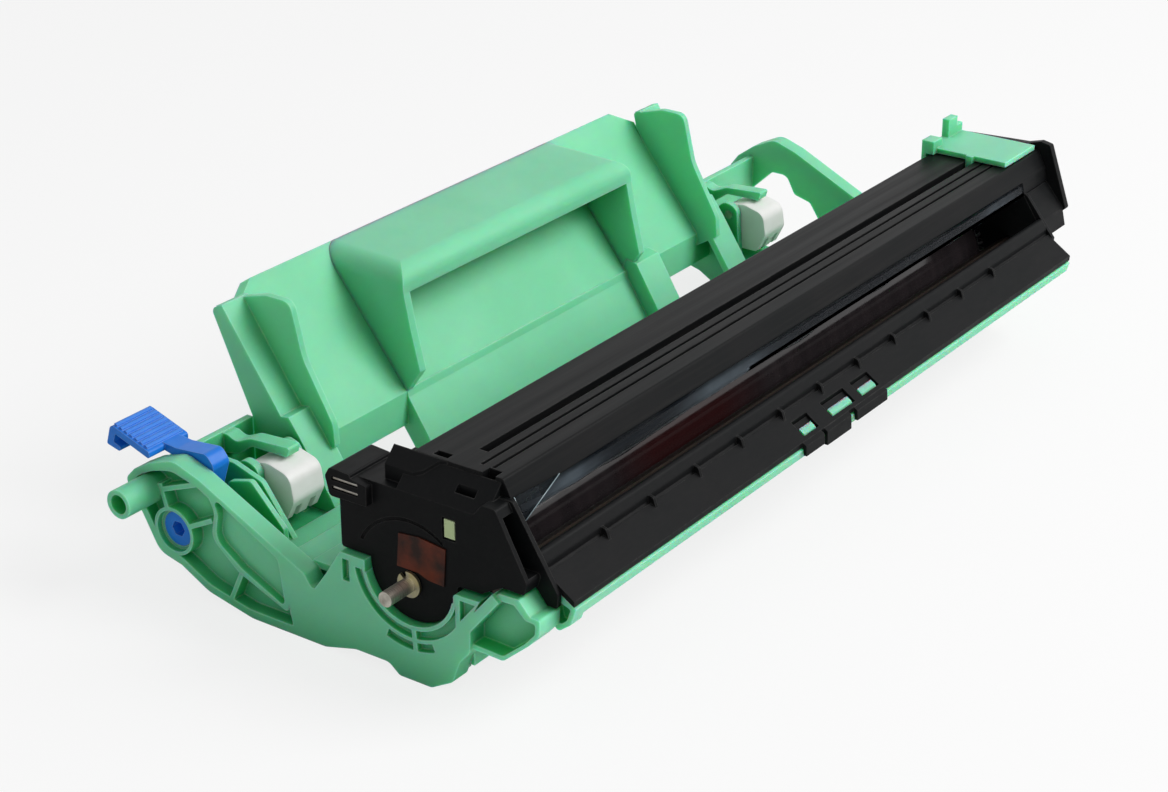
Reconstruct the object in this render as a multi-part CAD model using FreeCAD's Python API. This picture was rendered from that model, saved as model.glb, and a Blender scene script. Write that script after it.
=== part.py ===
import FreeCAD, Part
import math
import os

# Printer drum unit. X runs along the drum, +Y towards the carrying handle, Z is up.
# While it is modelled, the drum's axis lies over Y = 0 and the unit stands on Z = 0.
# All sizes are in millimetres.

V = FreeCAD.Vector

# Overall layout along the drum
DRUM_LENGTH = 236.0
PLATE_DEPTH = 5.0
BEARING_WIDTH = 5.0
GEAR_OFFSET = 3.0
GEAR_WIDTH = 5.0
NEAR_ROOM = PLATE_DEPTH + BEARING_WIDTH + 1.0
FAR_ROOM = PLATE_DEPTH + GEAR_OFFSET + GEAR_WIDTH + BEARING_WIDTH + 5.0
FRAME_LENGTH = NEAR_ROOM + DRUM_LENGTH + FAR_ROOM
NEAR_X = -FRAME_LENGTH / 2
FAR_X = FRAME_LENGTH / 2
DRUM_X0 = NEAR_X + NEAR_ROOM
DRUM_X1 = DRUM_X0 + DRUM_LENGTH
DRUM_CENTRE_X = (DRUM_X0 + DRUM_X1) / 2

# General walls and gaps
WALL = 1.8
RIB = 1.2
SEAT_GAP = 0.3
PIVOT_CLEARANCE = 0.08

# Photosensitive drum
DRUM_AXIS_Z = 23.2
DRUM_RADIUS = 12.0
DRUM_WALL = 0.75
SHAFT_RADIUS = 1.8
CLIP_RADIUS = 3.1
SHAFT_OUT = 9.0

# Spur gears between the drum and the transfer roller
GEAR_MODULE = 0.8
DRUM_TEETH = 28
ROLLER_TEETH = 16
PRESSURE_ANGLE = math.radians(20)
GEAR_BACKLASH = 0.12
CENTRE_DISTANCE = GEAR_MODULE * (DRUM_TEETH + ROLLER_TEETH) / 2

# Transfer roller, in front of the drum and below it
ROLLER_ANGLE = math.radians(60)
ROLLER_RADIUS = CENTRE_DISTANCE - DRUM_RADIUS - SEAT_GAP
ROLLER_SHAFT_RADIUS = 2.5
ROLLER_Y = -CENTRE_DISTANCE * math.cos(ROLLER_ANGLE)
ROLLER_Z = DRUM_AXIS_Z - CENTRE_DISTANCE * math.sin(ROLLER_ANGLE)
BEARING_OUTER = 4.4
BED_FRONT_Y = -7.0
BED_REAR_Y = 7.0
BED_Z = 0.6
SPRING_PAD_Y = -9.4

# Side plates of the green frame
PLATE_WEB = 1.6
RIM = 1.8
FLAT_FRONT_Y = -6.5
FLAT_REAR_Y = 46.0
PLATE_REAR_Y = 84.0
PLATE_PEAK_Z = 33.5
NEAR_INNER_X = NEAR_X + PLATE_DEPTH
FAR_INNER_X = FAR_X - PLATE_DEPTH
BOSS_Y = 76.5
BOSS_Z = 24.6
BOSS_RADIUS = 3.6
BOSS_BORE = 2.4
BOSS_LENGTH = 10.0

# Tray floor and rear walls
FLOOR_Z = 1.2
FLOOR_FRONT_Y = 15.0
FLOOR_REAR_Y = 57.0
REAR_WALL_Y = 75.4
REAR_WALL_Z = 30.0

# Carrying handle
HANDLE_INSET = 24.0
HANDLE_X0 = DRUM_X0 + HANDLE_INSET
HANDLE_X1 = DRUM_X1 - HANDLE_INSET
HANDLE_TOP_Y = 89.4
HANDLE_TOP_Z = 57.3
CORNER_CUT = 8.4
CREASE_Y = 62.9
CREASE_Z = 23.5
STRIP_BOTTOM_Z = 14.4
HOOD_HALF = 50.4
HOOD_X0 = DRUM_CENTRE_X - HOOD_HALF
HOOD_X1 = DRUM_CENTRE_X + HOOD_HALF
HOOD_LIP_Y = HANDLE_TOP_Y - 26.0
HOOD_LIP_Z = HANDLE_TOP_Z - 7.3
HOOD_WALL = 2.4
HOOD_ROUNDING = 5.0
WING_WIDTH = 9.3
BACK_RIB_INSET = 28.0
MIDDLE_X1 = HOOD_X1 + 8.6

# Black housing over the drum
CAP_FACE_INSET = 2.0
CAP_THICKNESS = 6.0
CAP_BOTTOM_Z = 26.4
CAP_REAR_Y = 19.5
LOBE_RADIUS = 12.0
LOBE_Y = -0.8
LOBE_Z = CAP_BOTTOM_Z - 0.2
BAR_REAR_Y = 3.4
BAR_BOTTOM_Z = DRUM_AXIS_Z + DRUM_RADIUS + 2.0
BAR_TOP_Z = BAR_BOTTOM_Z + 15.0
CAP_TOP_Z = BAR_TOP_Z - 7.0
BAR_FRONT_Y = -20.9
CHANNEL_FRONT_Y = -11.5
FAR_CAP_INSET = 5.0
FAR_CAP_THICKNESS = 2.0
GUIDE_X1 = DRUM_X1 + 2.0
FAR_BLOCK_X1 = GUIDE_X1 + 6.5
CAP_FACE_X = NEAR_X + CAP_FACE_INSET
CAP_INNER_X = CAP_FACE_X + CAP_THICKNESS
CLIP_THICKNESS = 0.7
CLIP_X = CAP_FACE_X - CLIP_THICKNESS - SEAT_GAP
FAR_CAP_X1 = FAR_X - FAR_CAP_INSET
FAR_CAP_X0 = FAR_CAP_X1 - FAR_CAP_THICKNESS

# Ribbed exit guide in front of the drum
GUIDE_RIDGE_Y = -29.7
GUIDE_RIDGE_Z = 37.5
GUIDE_FRONT_Y = -39.3
GUIDE_FRONT_Z = 28.5
GUIDE_STEP_Y = GUIDE_RIDGE_Y - 2.0
GUIDE_STEP_Z = GUIDE_RIDGE_Z - 3.9
GUIDE_FIN_PITCH = 18.4
GUIDE_FIN_WIDTH = 0.9
GUIDE_FIN_FIRST_X = DRUM_X0 + GUIDE_FIN_PITCH
GUIDE_FIN_COUNT = int((GUIDE_X1 - GUIDE_FIN_FIRST_X) / GUIDE_FIN_PITCH)
WINDOW_FRONT_Y = GUIDE_FRONT_Y + 0.9
WINDOW_REAR_Y = GUIDE_FRONT_Y + 4.5

# Charging channel in the housing
CHANNEL_X0 = CAP_INNER_X + 2.5
CHANNEL_X1 = FAR_CAP_X0 - 2.5
WIRE_BLOCK = 6.0
WIRE_Y = -5.4
WIRE_Z = BAR_BOTTOM_Z + 6.4

# Corona wire cleaner
SLOT_Y0 = -10.6
SLOT_Y1 = -8.1
CLEANER_X = FAR_CAP_X0 - 20.0
CLEANER_LENGTH = 18.4
CLEANER_STEM_X = CLEANER_X - 1.0
FINE_GROOVE = 0.9

# Lock lever on the near side plate
LEVER_Y = 69.5
LEVER_Z = 15.5
LEVER_HUB = 4.3
LEVER_X0 = NEAR_INNER_X + SEAT_GAP
LEVER_WIDTH = 5.4
PAD_RIDGES = 7
PAD_PITCH = 1.55
PAD_START_Y = 75.6
PAD_START_Z = 34.2
PAD_RISE = 0.33

# Cartridge pushers
PUSHER_PIVOT_Y = 61.6
PUSHER_PIVOT_Z = 25.0
PUSHER_PIN_RADIUS = 1.2
PUSHER_WIDTH = 11.0
NEAR_PUSHER_X = HANDLE_X0 - PUSHER_WIDTH - 3.5
FAR_PUSHER_X = HANDLE_X1 + 8.5
PUSHER_FLOOR_X1 = FAR_PUSHER_X + PUSHER_WIDTH + 3.0
SPRING_WIRE = 0.6
SPRING_Z = 20.0


def yz_face(points, x):
    """Flat face in the plane X = x from a closed list of (y, z) corners."""
    corners = [V(x, y, z) for y, z in points]
    return Part.Face(Part.makePolygon(corners + corners[:1]))


def along_x(points, x0, x1):
    """Solid with a (y, z) outline between two places along the drum."""
    return yz_face(points, x0).extrude(V(x1 - x0, 0, 0))


def block(x0, x1, y0, y1, z0, z1):
    return Part.makeBox(x1 - x0, y1 - y0, z1 - z0, V(x0, y0, z0))


def rod(radius, x0, x1, y, z):
    """Cylinder along X."""
    return Part.makeCylinder(radius, x1 - x0, V(x0, y, z), V(1, 0, 0))


def tube(outer, inner, x0, x1, y, z):
    return rod(outer, x0, x1, y, z).cut(rod(inner, x0, x1, y, z))


def rounded(points):
    """Outline of (y, z, radius) corners turned to straight runs and tangent arcs, as a wire at X = 0."""
    edges = []
    count = len(points)
    starts = []
    ends = []
    middles = []
    for index in range(count):
        y, z, radius = points[index]
        here = V(0, y, z)
        before = V(0, points[index - 1][0], points[index - 1][1]) - here
        after = V(0, points[(index + 1) % count][0], points[(index + 1) % count][1]) - here
        before.normalize()
        after.normalize()
        if radius <= 0:
            starts.append(here)
            ends.append(here)
            middles.append(None)
            continue
        half = before.getAngle(after) / 2
        reach = radius / math.tan(half)
        inward = before + after
        inward.normalize()
        starts.append(here + before * reach)
        ends.append(here + after * reach)
        middles.append(here + inward * (radius / math.sin(half) - radius))
    for index in range(count):
        if middles[index] is not None:
            edges.append(Part.Arc(starts[index], middles[index], ends[index]).toShape())
        following = starts[(index + 1) % count]
        if (following - ends[index]).Length > 0.001:
            edges.append(Part.LineSegment(ends[index], following).toShape())
    return Part.Wire(edges)


def rounded_along_x(points, x0, x1):
    face = Part.Face(rounded(points))
    face.translate(V(x0, 0, 0))
    return face.extrude(V(x1 - x0, 0, 0))


def unit_normal(start, end):
    """Unit normal, to the left of the way from one (y, z) point to the next."""
    run = math.hypot(end[0] - start[0], end[1] - start[1])
    return -(end[1] - start[1]) / run, (end[0] - start[0]) / run


def sheet(points, thickness, x0, x1):
    """Folded sheet of even thickness with mitred folds; the (y, z) points follow one side of it."""
    normals = [unit_normal(start, end) for start, end in zip(points, points[1:])]
    other_side = []
    for index, (y, z) in enumerate(points):
        first = normals[max(index - 1, 0)]
        second = normals[min(index, len(normals) - 1)]
        mitre = thickness / (1 + first[0] * second[0] + first[1] * second[1])
        other_side.append((y + (first[0] + second[0]) * mitre, z + (first[1] + second[1]) * mitre))
    return along_x(points + other_side[::-1], x0, x1)


def rib_between(start, end, thickness, x0, x1):
    """Straight rib of a side plate between two (y, z) points."""
    ny, nz = unit_normal(start, end)
    half_y = ny * thickness / 2
    half_z = nz * thickness / 2
    return along_x([
        (start[0] + half_y, start[1] + half_z), (end[0] + half_y, end[1] + half_z),
        (end[0] - half_y, end[1] - half_z), (start[0] - half_y, start[1] - half_z)], x0, x1)


def involute_gear(teeth, width, x0, y, z, turn, bore):
    """Spur gear along X with true involute flanks."""
    pitch_radius = GEAR_MODULE * teeth / 2
    base = pitch_radius * math.cos(PRESSURE_ANGLE)
    tip = pitch_radius + GEAR_MODULE
    root = pitch_radius - 1.25 * GEAR_MODULE
    half_tooth = math.pi / (2 * teeth) - GEAR_BACKLASH / (2 * pitch_radius)
    spread = math.tan(PRESSURE_ANGLE) - PRESSURE_ANGLE
    start = max(base, root + 0.02)
    flank = []
    steps = 4
    for step in range(steps + 1):
        radius = start + (tip - start) * step / steps
        roll = math.acos(min(1.0, base / radius))
        flank.append((radius, half_tooth + spread - (math.tan(roll) - roll)))
    corners = []
    for tooth in range(teeth):
        middle = turn + 2 * math.pi * tooth / teeth
        left = [(root, flank[0][1])] + flank
        for radius, offset in left:
            corners.append((y + radius * math.cos(middle - offset), z + radius * math.sin(middle - offset)))
        for radius, offset in reversed(left):
            corners.append((y + radius * math.cos(middle + offset), z + radius * math.sin(middle + offset)))
    return along_x(corners, x0, x0 + width).cut(rod(bore, x0, x0 + width, y, z))


def coil_spring(radius, wire, height, turns, base, direction):
    """Compression spring as a swept helix from a base point."""
    helix = Part.makeHelix(height / turns, height, radius)
    profile = Part.Wire([Part.makeCircle(wire / 2, V(radius, 0, 0), V(0, 1, 0))])
    spring = Part.Wire(helix).makePipeShell([profile], True, True)
    spring.Placement = FreeCAD.Placement(base, FreeCAD.Rotation(V(0, 0, 1), direction))
    return spring


# Green frame


def plate_outline(rise):
    """Outline of a side plate, from the toe round to the drum cradle; the rise lifts its rear hump."""
    shoulder = CAP_BOTTOM_Z - SEAT_GAP
    cradle = LOBE_RADIUS + SEAT_GAP
    cradle_rear = LOBE_Y + cradle
    cradle_front = LOBE_Y - cradle
    return [
        (-12.5, 3.4, 2.0), (FLAT_FRONT_Y, 0.0, 2.0), (2.5, 0.0, 1.5), (5.5, 2.4, 3.0), (15.0, 2.4, 6.0),
        (24.0, 0.0, 4.0), (FLAT_REAR_Y, 0.0, 10.0), (59.5, 2.8, 10.0), (67.7, 7.2, 4.0), (74.5, 8.8, 5.0),
        (79.2, 17.4, 4.0), (PLATE_REAR_Y, 25.2, 2.0), (80.8, 28.6 + rise * 0.3, 3.0), (75.6, 31.6 + rise * 0.6, 5.0),
        (68.2, PLATE_PEAK_Z + 0.6 + rise, 5.0), (60.5, 31.6 + rise, 10.0), (37.8, 20.8 + rise, 12.0),
        (29.5, 17.0, 2.0),
        (27.0, 13.4, 1.0), (23.0, 19.0, 3.0), (CAP_REAR_Y - 1.0, shoulder, 0.0),
        (cradle_rear, shoulder, 0.0), (cradle_rear, 18.0, 0.0), (cradle_front, 18.0, 0.0),
        (cradle_front, shoulder - 0.4, 1.0), (-20.2, shoulder - 0.2, 0.0), (-17.6, 20.8, 2.0),
        (-17.4, 12.5, 2.0), (-14.5, 9.0, 2.0),
    ]


def plate_blank(x0, x1, rise):
    """Side plate blank with the round cradle under the drum's end."""
    blank = rounded_along_x(plate_outline(rise), x0, x1)
    cradle = LOBE_RADIUS + SEAT_GAP
    filling = block(x0, x1, LOBE_Y - cradle - 0.5, LOBE_Y + cradle + 0.5, LOBE_Z - cradle - 1.0, DRUM_AXIS_Z)
    return blank.fuse(filling).cut(rod(cradle, x0, x1, LOBE_Y, LOBE_Z)).cut(
        block(x0, x1, LOBE_Y - cradle, LOBE_Y + cradle, LOBE_Z, CAP_TOP_Z))


def plate_pocket(x0, x1):
    """Recess in the plate's outside, behind the smooth skin round the drum."""
    return rounded_along_x([
        (33.5, 2.2, 0.5), (47.0, 2.2, 8.0), (59.0, 4.8, 10.0), (67.2, 9.2, 4.0), (73.4, 10.8, 4.0),
        (77.4, 18.2, 4.0), (81.6, 25.2, 1.5), (79.6, 27.2, 3.0), (75.2, 29.6, 7.0),
        (69.0, 31.4, 7.0), (61.0, 29.4, 9.0), (37.0, 17.8, 3.0),
    ], x0, x1)


def shallow_pocket(inset, x0, x1):
    """Shallow recess beside the deep one; its rear edge is the S-shaped wall under the plate's rim."""
    return rounded_along_x([
        (34.4 + inset, 5.0 + inset, 1.0), (49.6 - inset, 11.0 + inset, 8.0), (57.4 - inset, 17.6, 4.0),
        (56.0 - inset, 24.6, 4.0), (58.4 - inset, 29.6 - inset, 1.0), (54.0, 28.4 - inset, 2.0),
        (36.0 + inset, 19.4 - inset, 2.0),
    ], x0, x1)


def near_plate():
    web_x = NEAR_INNER_X - PLATE_WEB
    plate = plate_blank(NEAR_X, NEAR_INNER_X, 0.0)
    pocket = plate_pocket(NEAR_X, web_x)
    plate = plate.cut(pocket)
    plate = plate.fuse(shallow_pocket(0.0, NEAR_X, web_x).common(pocket))
    plate = plate.cut(shallow_pocket(RIB, NEAR_X, NEAR_X + 2.0))
    ribs = [
        rib_between((76.5, 24.0), (60.0, 30.5), RIB, NEAR_X, web_x),
        rib_between((73.0, 27.0), (LEVER_Y, LEVER_Z), RIB, NEAR_X, web_x),
        rib_between((LEVER_Y, LEVER_Z), (57.0, 22.0), RIB, NEAR_X, web_x),
        rib_between((48.8, 10.6), (52.9, 2.0), RIB, NEAR_X, web_x),
    ]
    for rib in ribs:
        plate = plate.fuse(rib.common(pocket))
    plate = plate.fuse(rod(LEVER_HUB + RIM, NEAR_X, NEAR_INNER_X, LEVER_Y, LEVER_Z))
    plate = plate.cut(rod(LEVER_HUB + RIM - 0.9, NEAR_X, NEAR_X + 1.6, LEVER_Y, LEVER_Z))
    plate = plate.cut(rod(LEVER_HUB + PIVOT_CLEARANCE, NEAR_X, NEAR_INNER_X, LEVER_Y, LEVER_Z))
    plate = plate.fuse(rod(BOSS_RADIUS, NEAR_X - BOSS_LENGTH, NEAR_INNER_X, BOSS_Y, BOSS_Z))
    plate = plate.cut(rod(BOSS_BORE, NEAR_X - BOSS_LENGTH, NEAR_X, BOSS_Y, BOSS_Z))
    plate = plate.cut(cradle_pockets(NEAR_X, NEAR_X + PLATE_WEB))
    return plate.fuse(rib_between((-24.4, 28.0), (-8.4, 8.4), 2.4, NEAR_X, NEAR_INNER_X - 0.5)).removeSplitter()


def cradle_pockets(x0, x1):
    """Ring-shaped groove round the drum cradle, a second row under it, and pockets beside it."""
    groove = tube(LOBE_RADIUS + 3.4, LOBE_RADIUS + 1.3, x0, x1, LOBE_Y, LOBE_Z)
    groove = groove.common(block(x0, x1, -13.6, LOBE_Y + 20.0, 8.0, 23.6))
    row = tube(LOBE_RADIUS + 6.4, LOBE_RADIUS + 4.3, x0, x1, LOBE_Y, LOBE_Z)
    row = row.common(along_x([(LOBE_Y, LOBE_Z), (7.0, LOBE_Z - 20), (-9.0, LOBE_Z - 20)], x0, x1))
    pockets = groove.fuse(row).cut(rib_between((LOBE_Y, LOBE_Z), (LOBE_Y - 1.6, LOBE_Z - 20), RIB, x0, x1))
    beside = along_x([(-14.8, 24.6), (-19.0, 24.6), (-14.8, 19.4)], x0, x1)
    return pockets.fuse(beside).fuse(block(x0, x1, 16.0, 18.0, 19.2, 24.6))


def far_plate():
    """Far side plate, cut away behind for the printer's drive."""
    rise = 2.8
    plate = plate_blank(FAR_INNER_X, FAR_X, rise)
    plate = plate.cut(plate_pocket(FAR_INNER_X + PLATE_WEB, FAR_X))
    drive_gap = rounded_along_x([
        (46.0, -4.0, 0.0), (79.0, -4.0, 0.0), (77.1, 18.2, 2.0), (68.5, 26.4, 2.0), (63.2, 26.4, 3.0),
        (60.2, 20.8, 2.0), (54.6, 19.3, 2.0), (51.6, 14.9, 2.0), (48.0, 3.0, 4.0),
    ], FAR_INNER_X, FAR_X)
    return plate.cut(drive_gap).removeSplitter()


def tray_floor():
    """Floor of the toner bay between the two side plates, with the raised floors at both ends."""
    middle = block(NEAR_INNER_X, FAR_INNER_X, FLOOR_FRONT_Y, 45.0, FLOOR_Z, FLOOR_Z + WALL)
    bay = block(HANDLE_X0, HANDLE_X1, 44.0, FLOOR_REAR_Y, FLOOR_Z, FLOOR_Z + WALL)
    lip = block(NEAR_INNER_X, FAR_INNER_X, FLOOR_FRONT_Y, FLOOR_FRONT_Y + WALL, FLOOR_Z, FLOOR_Z + 4.0)
    floor = middle.fuse(bay).fuse(lip)
    rear = [(44.0, FLOOR_Z), (59.5, FLOOR_Z + 2.4), (67.7, 7.8), (75.2, 9.8), (76.8, 14.0)]
    floor = floor.fuse(sheet(rear, WALL, NEAR_INNER_X, HANDLE_X0))
    floor = floor.fuse(sheet(rear, WALL, HANDLE_X1, PUSHER_FLOOR_X1))
    for x0, x1 in ((NEAR_INNER_X, HANDLE_X0), (HANDLE_X1, FAR_INNER_X)):
        floor = floor.fuse(block(x0, x1, REAR_WALL_Y, REAR_WALL_Y + WALL, 12.5, REAR_WALL_Z))
    return floor.removeSplitter()


def end_shelf(x0, x1):
    """Stepped shelf between a side plate and the toner bay, in front of the pusher."""
    step = along_x([
        (20.0, 1.5), (20.0, 18.0), (31.0, 18.0), (31.0, 16.0), (40.0, 16.0), (40.0, 13.6), (49.0, 13.6),
        (49.0, 10.6), (REAR_WALL_Y, 10.6), (REAR_WALL_Y, 9.0), (47.2, 9.0), (47.2, 11.8), (38.2, 11.8),
        (38.2, 14.2), (29.2, 14.2), (29.2, 16.2), (21.8, 16.2), (21.8, 1.5),
    ], x0, x1)
    return step


def inner_walls():
    """Upright walls of the near compartment, beside the lever and beside the pusher."""
    beside_lever = rounded_along_x([
        (44.5, 10.0, 0.0), (45.0, 18.6, 1.0), (54.6, 28.4, 1.5), (61.6, 26.4, 1.0), (63.0, 10.0, 0.0),
    ], NEAR_INNER_X + 6.0, NEAR_INNER_X + 7.4)
    beside_pusher = rounded_along_x([
        (46.5, 10.0, 0.0), (46.5, 13.8, 1.0), (55.5, 26.0, 2.0), (64.0, 28.6, 2.0), (REAR_WALL_Y, 28.6, 0.0),
        (REAR_WALL_Y, 10.0, 0.0),
    ], NEAR_PUSHER_X - 4.9, NEAR_PUSHER_X - 3.5)
    return beside_lever.fuse(beside_pusher)


def pusher_latch(x):
    """Springy green finger from the rear wall that holds a pusher down."""
    return rounded_along_x([
        (REAR_WALL_Y + 0.5, 29.6, 0.0), (REAR_WALL_Y + 0.5, 24.4, 0.0), (70.6, 25.4, 3.0), (66.4, 28.6, 3.0),
        (55.2, 28.8, 0.6), (54.4, 31.4, 0.6), (66.6, 30.6, 4.0), (71.4, 28.4, 3.0), (74.0, 29.6, 1.0),
    ], x, x + 4.0)


def pusher_cheek(x0, x1):
    """Lug that holds one end of a pusher's pin, standing on the shelf."""
    lug = rounded_along_x([
        (57.5, 9.5, 0.0), (58.8, 27.5, 3.0), (65.2, 29.4, 3.0), (66.5, 9.5, 0.0),
    ], x0, x1)
    return lug


def roller_bed():
    """Bed under the transfer roller, with a seat for each of its two bearings."""
    bed = block(NEAR_INNER_X, FAR_INNER_X, BED_FRONT_Y, BED_REAR_Y, BED_Z, BED_Z + RIB)
    near_place, far_place = bearing_places()
    front = ROLLER_Y - BEARING_OUTER - SEAT_GAP
    rear = ROLLER_Y + BEARING_OUTER + SEAT_GAP
    for x0, x1 in ((NEAR_INNER_X, near_place + BEARING_WIDTH), (far_place, FAR_INNER_X)):
        bed = bed.fuse(block(x0, x1, front - RIB, front, ROLLER_Z - 2.0, ROLLER_Z + 2.0))
        bed = bed.fuse(block(x0, x1, rear, rear + RIB, BED_Z, ROLLER_Z + 2.0))
        bed = bed.fuse(block(x0, x1, SPRING_PAD_Y, BED_REAR_Y, BED_Z + 0.8, BED_Z + 0.8 + RIB))
    gear_room = ROLLER_TEETH * GEAR_MODULE / 2 + GEAR_MODULE + 0.5
    gear_x = DRUM_X1 + GEAR_OFFSET
    return bed.cut(rod(gear_room, gear_x - 0.5, gear_x + GEAR_WIDTH + 0.5, ROLLER_Y, ROLLER_Z))


def front_beam():
    """Sloping front beam under the exit guide, with a hollow at its near end."""
    drop = 2.0
    x0 = CAP_INNER_X + SEAT_GAP
    section = [
        (GUIDE_FRONT_Y - 0.2, GUIDE_FRONT_Z - drop), (GUIDE_FRONT_Y + 0.6, GUIDE_FRONT_Z - drop - 2.6),
        (GUIDE_FRONT_Y + 5.3, GUIDE_FRONT_Z - 3.1), (GUIDE_RIDGE_Y - 0.3, GUIDE_RIDGE_Z - 7.9),
        (GUIDE_RIDGE_Y - 1.7, GUIDE_RIDGE_Z - 5.7),
    ]
    end = [
        (GUIDE_FRONT_Y - 0.2, GUIDE_FRONT_Z - drop, 0.5), (GUIDE_FRONT_Y + 1.2, GUIDE_FRONT_Z - 6.2, 1.0),
        (GUIDE_FRONT_Y + 4.6, GUIDE_FRONT_Z - 8.8, 1.0), (GUIDE_FRONT_Y + 6.4, GUIDE_FRONT_Z - 6.0, 1.0),
        (GUIDE_FRONT_Y + 6.8, GUIDE_FRONT_Z + 1.2, 0.5),
    ]
    hollow = [
        (GUIDE_FRONT_Y + 1.2, GUIDE_FRONT_Z - 2.4, 0.5), (GUIDE_FRONT_Y + 2.2, GUIDE_FRONT_Z - 5.4, 1.0),
        (GUIDE_FRONT_Y + 4.4, GUIDE_FRONT_Z - 7.2, 0.8), (GUIDE_FRONT_Y + 5.2, GUIDE_FRONT_Z - 4.0, 0.5),
        (GUIDE_FRONT_Y + 4.6, GUIDE_FRONT_Z - 1.2, 0.5),
    ]
    beam = along_x(section, x0, GUIDE_X1 - SEAT_GAP).fuse(rounded_along_x(end, x0, x0 + 4.0))
    return beam.cut(rounded_along_x(hollow, x0, x0 + 2.6))


def block_outline(inset):
    """Outline of the front corner block, or of the recess inside its edges."""
    return [
        (-22.6, 26.6 - inset, 0.5), (-13.0 - inset, 13.2 + inset, 1.0), (-25.6, 12.8 + inset, 2.0),
        (-32.4 + inset, 18.8, 2.0), (-35.2 + inset, 22.0, 1.0), (-35.4 + inset, 25.8 - inset, 0.6),
        (-32.8 + inset, 25.9 - inset, 0.5), (-29.8 + inset, 29.2 - inset * 1.4, 0.6),
        (-24.6, 29.0 - inset * 1.4, 0.8),
    ]


def front_block(x0, x1):
    """Hollow green corner in front of a side plate."""
    return rounded_along_x(block_outline(0.0), x0, x1)


def frame_tray():
    """One green moulding: both side plates, the tray floor, the roller's bed and the front beam."""
    frame = near_plate().fuse(far_plate()).fuse(tray_floor()).fuse(roller_bed()).fuse(front_beam())
    near_block = front_block(NEAR_X + 1.0, CAP_INNER_X + SEAT_GAP)
    near_recess = rounded_along_x(block_outline(RIB), NEAR_X + 1.0, NEAR_X + 5.0)
    far_block = front_block(GUIDE_X1 - SEAT_GAP, FAR_BLOCK_X1)
    frame = frame.fuse(near_block.cut(near_recess)).fuse(far_block)
    frame = frame.fuse(block(FAR_BLOCK_X1 - 2.0, FAR_INNER_X + 1.0, -19.0, -17.2, 14.0, 24.5))
    frame = frame.fuse(end_shelf(NEAR_INNER_X, HANDLE_X0))
    frame = frame.fuse(end_shelf(HANDLE_X1, PUSHER_FLOOR_X1))
    frame = frame.fuse(inner_walls())
    for x0 in (NEAR_PUSHER_X, FAR_PUSHER_X):
        frame = frame.fuse(pusher_cheek(x0 - 2.4, x0 - SEAT_GAP))
        frame = frame.fuse(pusher_cheek(x0 + PUSHER_WIDTH + SEAT_GAP, x0 + PUSHER_WIDTH + 2.4))
        frame = frame.fuse(pusher_latch(x0 + 4.0))
        frame = frame.cut(rod(PUSHER_PIN_RADIUS, x0 - 3.0, x0 + PUSHER_WIDTH + 3.0, PUSHER_PIVOT_Y, PUSHER_PIVOT_Z))
    frame = frame.cut(rod(DRUM_RADIUS + 2.0, NEAR_INNER_X, FAR_INNER_X, 0, DRUM_AXIS_Z))
    for x0, x1 in catch_windows():
        frame = frame.fuse(catch(x0, x1))
    return frame.removeSplitter()


# Green handle


def handle_slope(z):
    """Y of the handle plate's front face at a height."""
    return CREASE_Y + (z - CREASE_Z) * (HANDLE_TOP_Y - CREASE_Y) / (HANDLE_TOP_Z - CREASE_Z)


def handle_plate():
    """Inclined plate with cut corners, and the upright strips below its crease."""
    lean = math.atan2(HANDLE_TOP_Z - CREASE_Z, HANDLE_TOP_Y - CREASE_Y)
    back_y = WALL * math.sin(lean)
    back_z = -WALL * math.cos(lean)
    x0 = HANDLE_X0 + WING_WIDTH - WALL / 2
    x1 = HANDLE_X1 - WING_WIDTH + WALL / 2
    plate = along_x([
        (CREASE_Y, CREASE_Z), (HANDLE_TOP_Y, HANDLE_TOP_Z), (HANDLE_TOP_Y + back_y, HANDLE_TOP_Z + back_z),
        (CREASE_Y + WALL, CREASE_Z + back_z),
    ], x0, x1)
    strip = block(HANDLE_X0 + WALL, HANDLE_X1 - WALL, CREASE_Y, CREASE_Y + WALL, STRIP_BOTTOM_Z, CREASE_Z)
    solid = plate.fuse(strip)
    for edge, inward in ((x0, 1), (x1, -1)):
        corner = Part.Face(Part.makePolygon([
            V(edge - inward, HANDLE_TOP_Y - 15, HANDLE_TOP_Z - CORNER_CUT * 0.5),
            V(edge, HANDLE_TOP_Y - 15, HANDLE_TOP_Z - CORNER_CUT * 0.5),
            V(edge + inward * CORNER_CUT, HANDLE_TOP_Y - 15, HANDLE_TOP_Z),
            V(edge + inward * CORNER_CUT, HANDLE_TOP_Y - 15, HANDLE_TOP_Z + 1.0),
            V(edge - inward, HANDLE_TOP_Y - 15, HANDLE_TOP_Z + 1.0),
            V(edge - inward, HANDLE_TOP_Y - 15, HANDLE_TOP_Z - CORNER_CUT * 0.5)]))
        solid = solid.cut(corner.extrude(V(0, 30, 0)))
    return solid


def ramp():
    """Sloping wall from the crease down to the bay's floor, with the proud block at its far end."""
    slope = along_x([
        (CREASE_Y, CREASE_Z + 0.5), (CREASE_Y - 0.5, CREASE_Z - 1.5), (56.4, 12.9), (50.4, FLOOR_Z + WALL),
        (FLOOR_REAR_Y, FLOOR_Z + WALL), (CREASE_Y + WALL, 14.0), (CREASE_Y + WALL, CREASE_Z),
    ], HOOD_X0, HOOD_X1)
    proud = along_x([
        (CREASE_Y, CREASE_Z + 4.0), (59.4, 26.8), (52.0, 14.8), (45.2, FLOOR_Z + WALL),
        (FLOOR_REAR_Y, FLOOR_Z + WALL), (CREASE_Y + WALL, 14.0), (CREASE_Y + WALL, CREASE_Z),
    ], HOOD_X1 - HOOD_WALL, MIDDLE_X1)
    return slope.fuse(proud)


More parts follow.
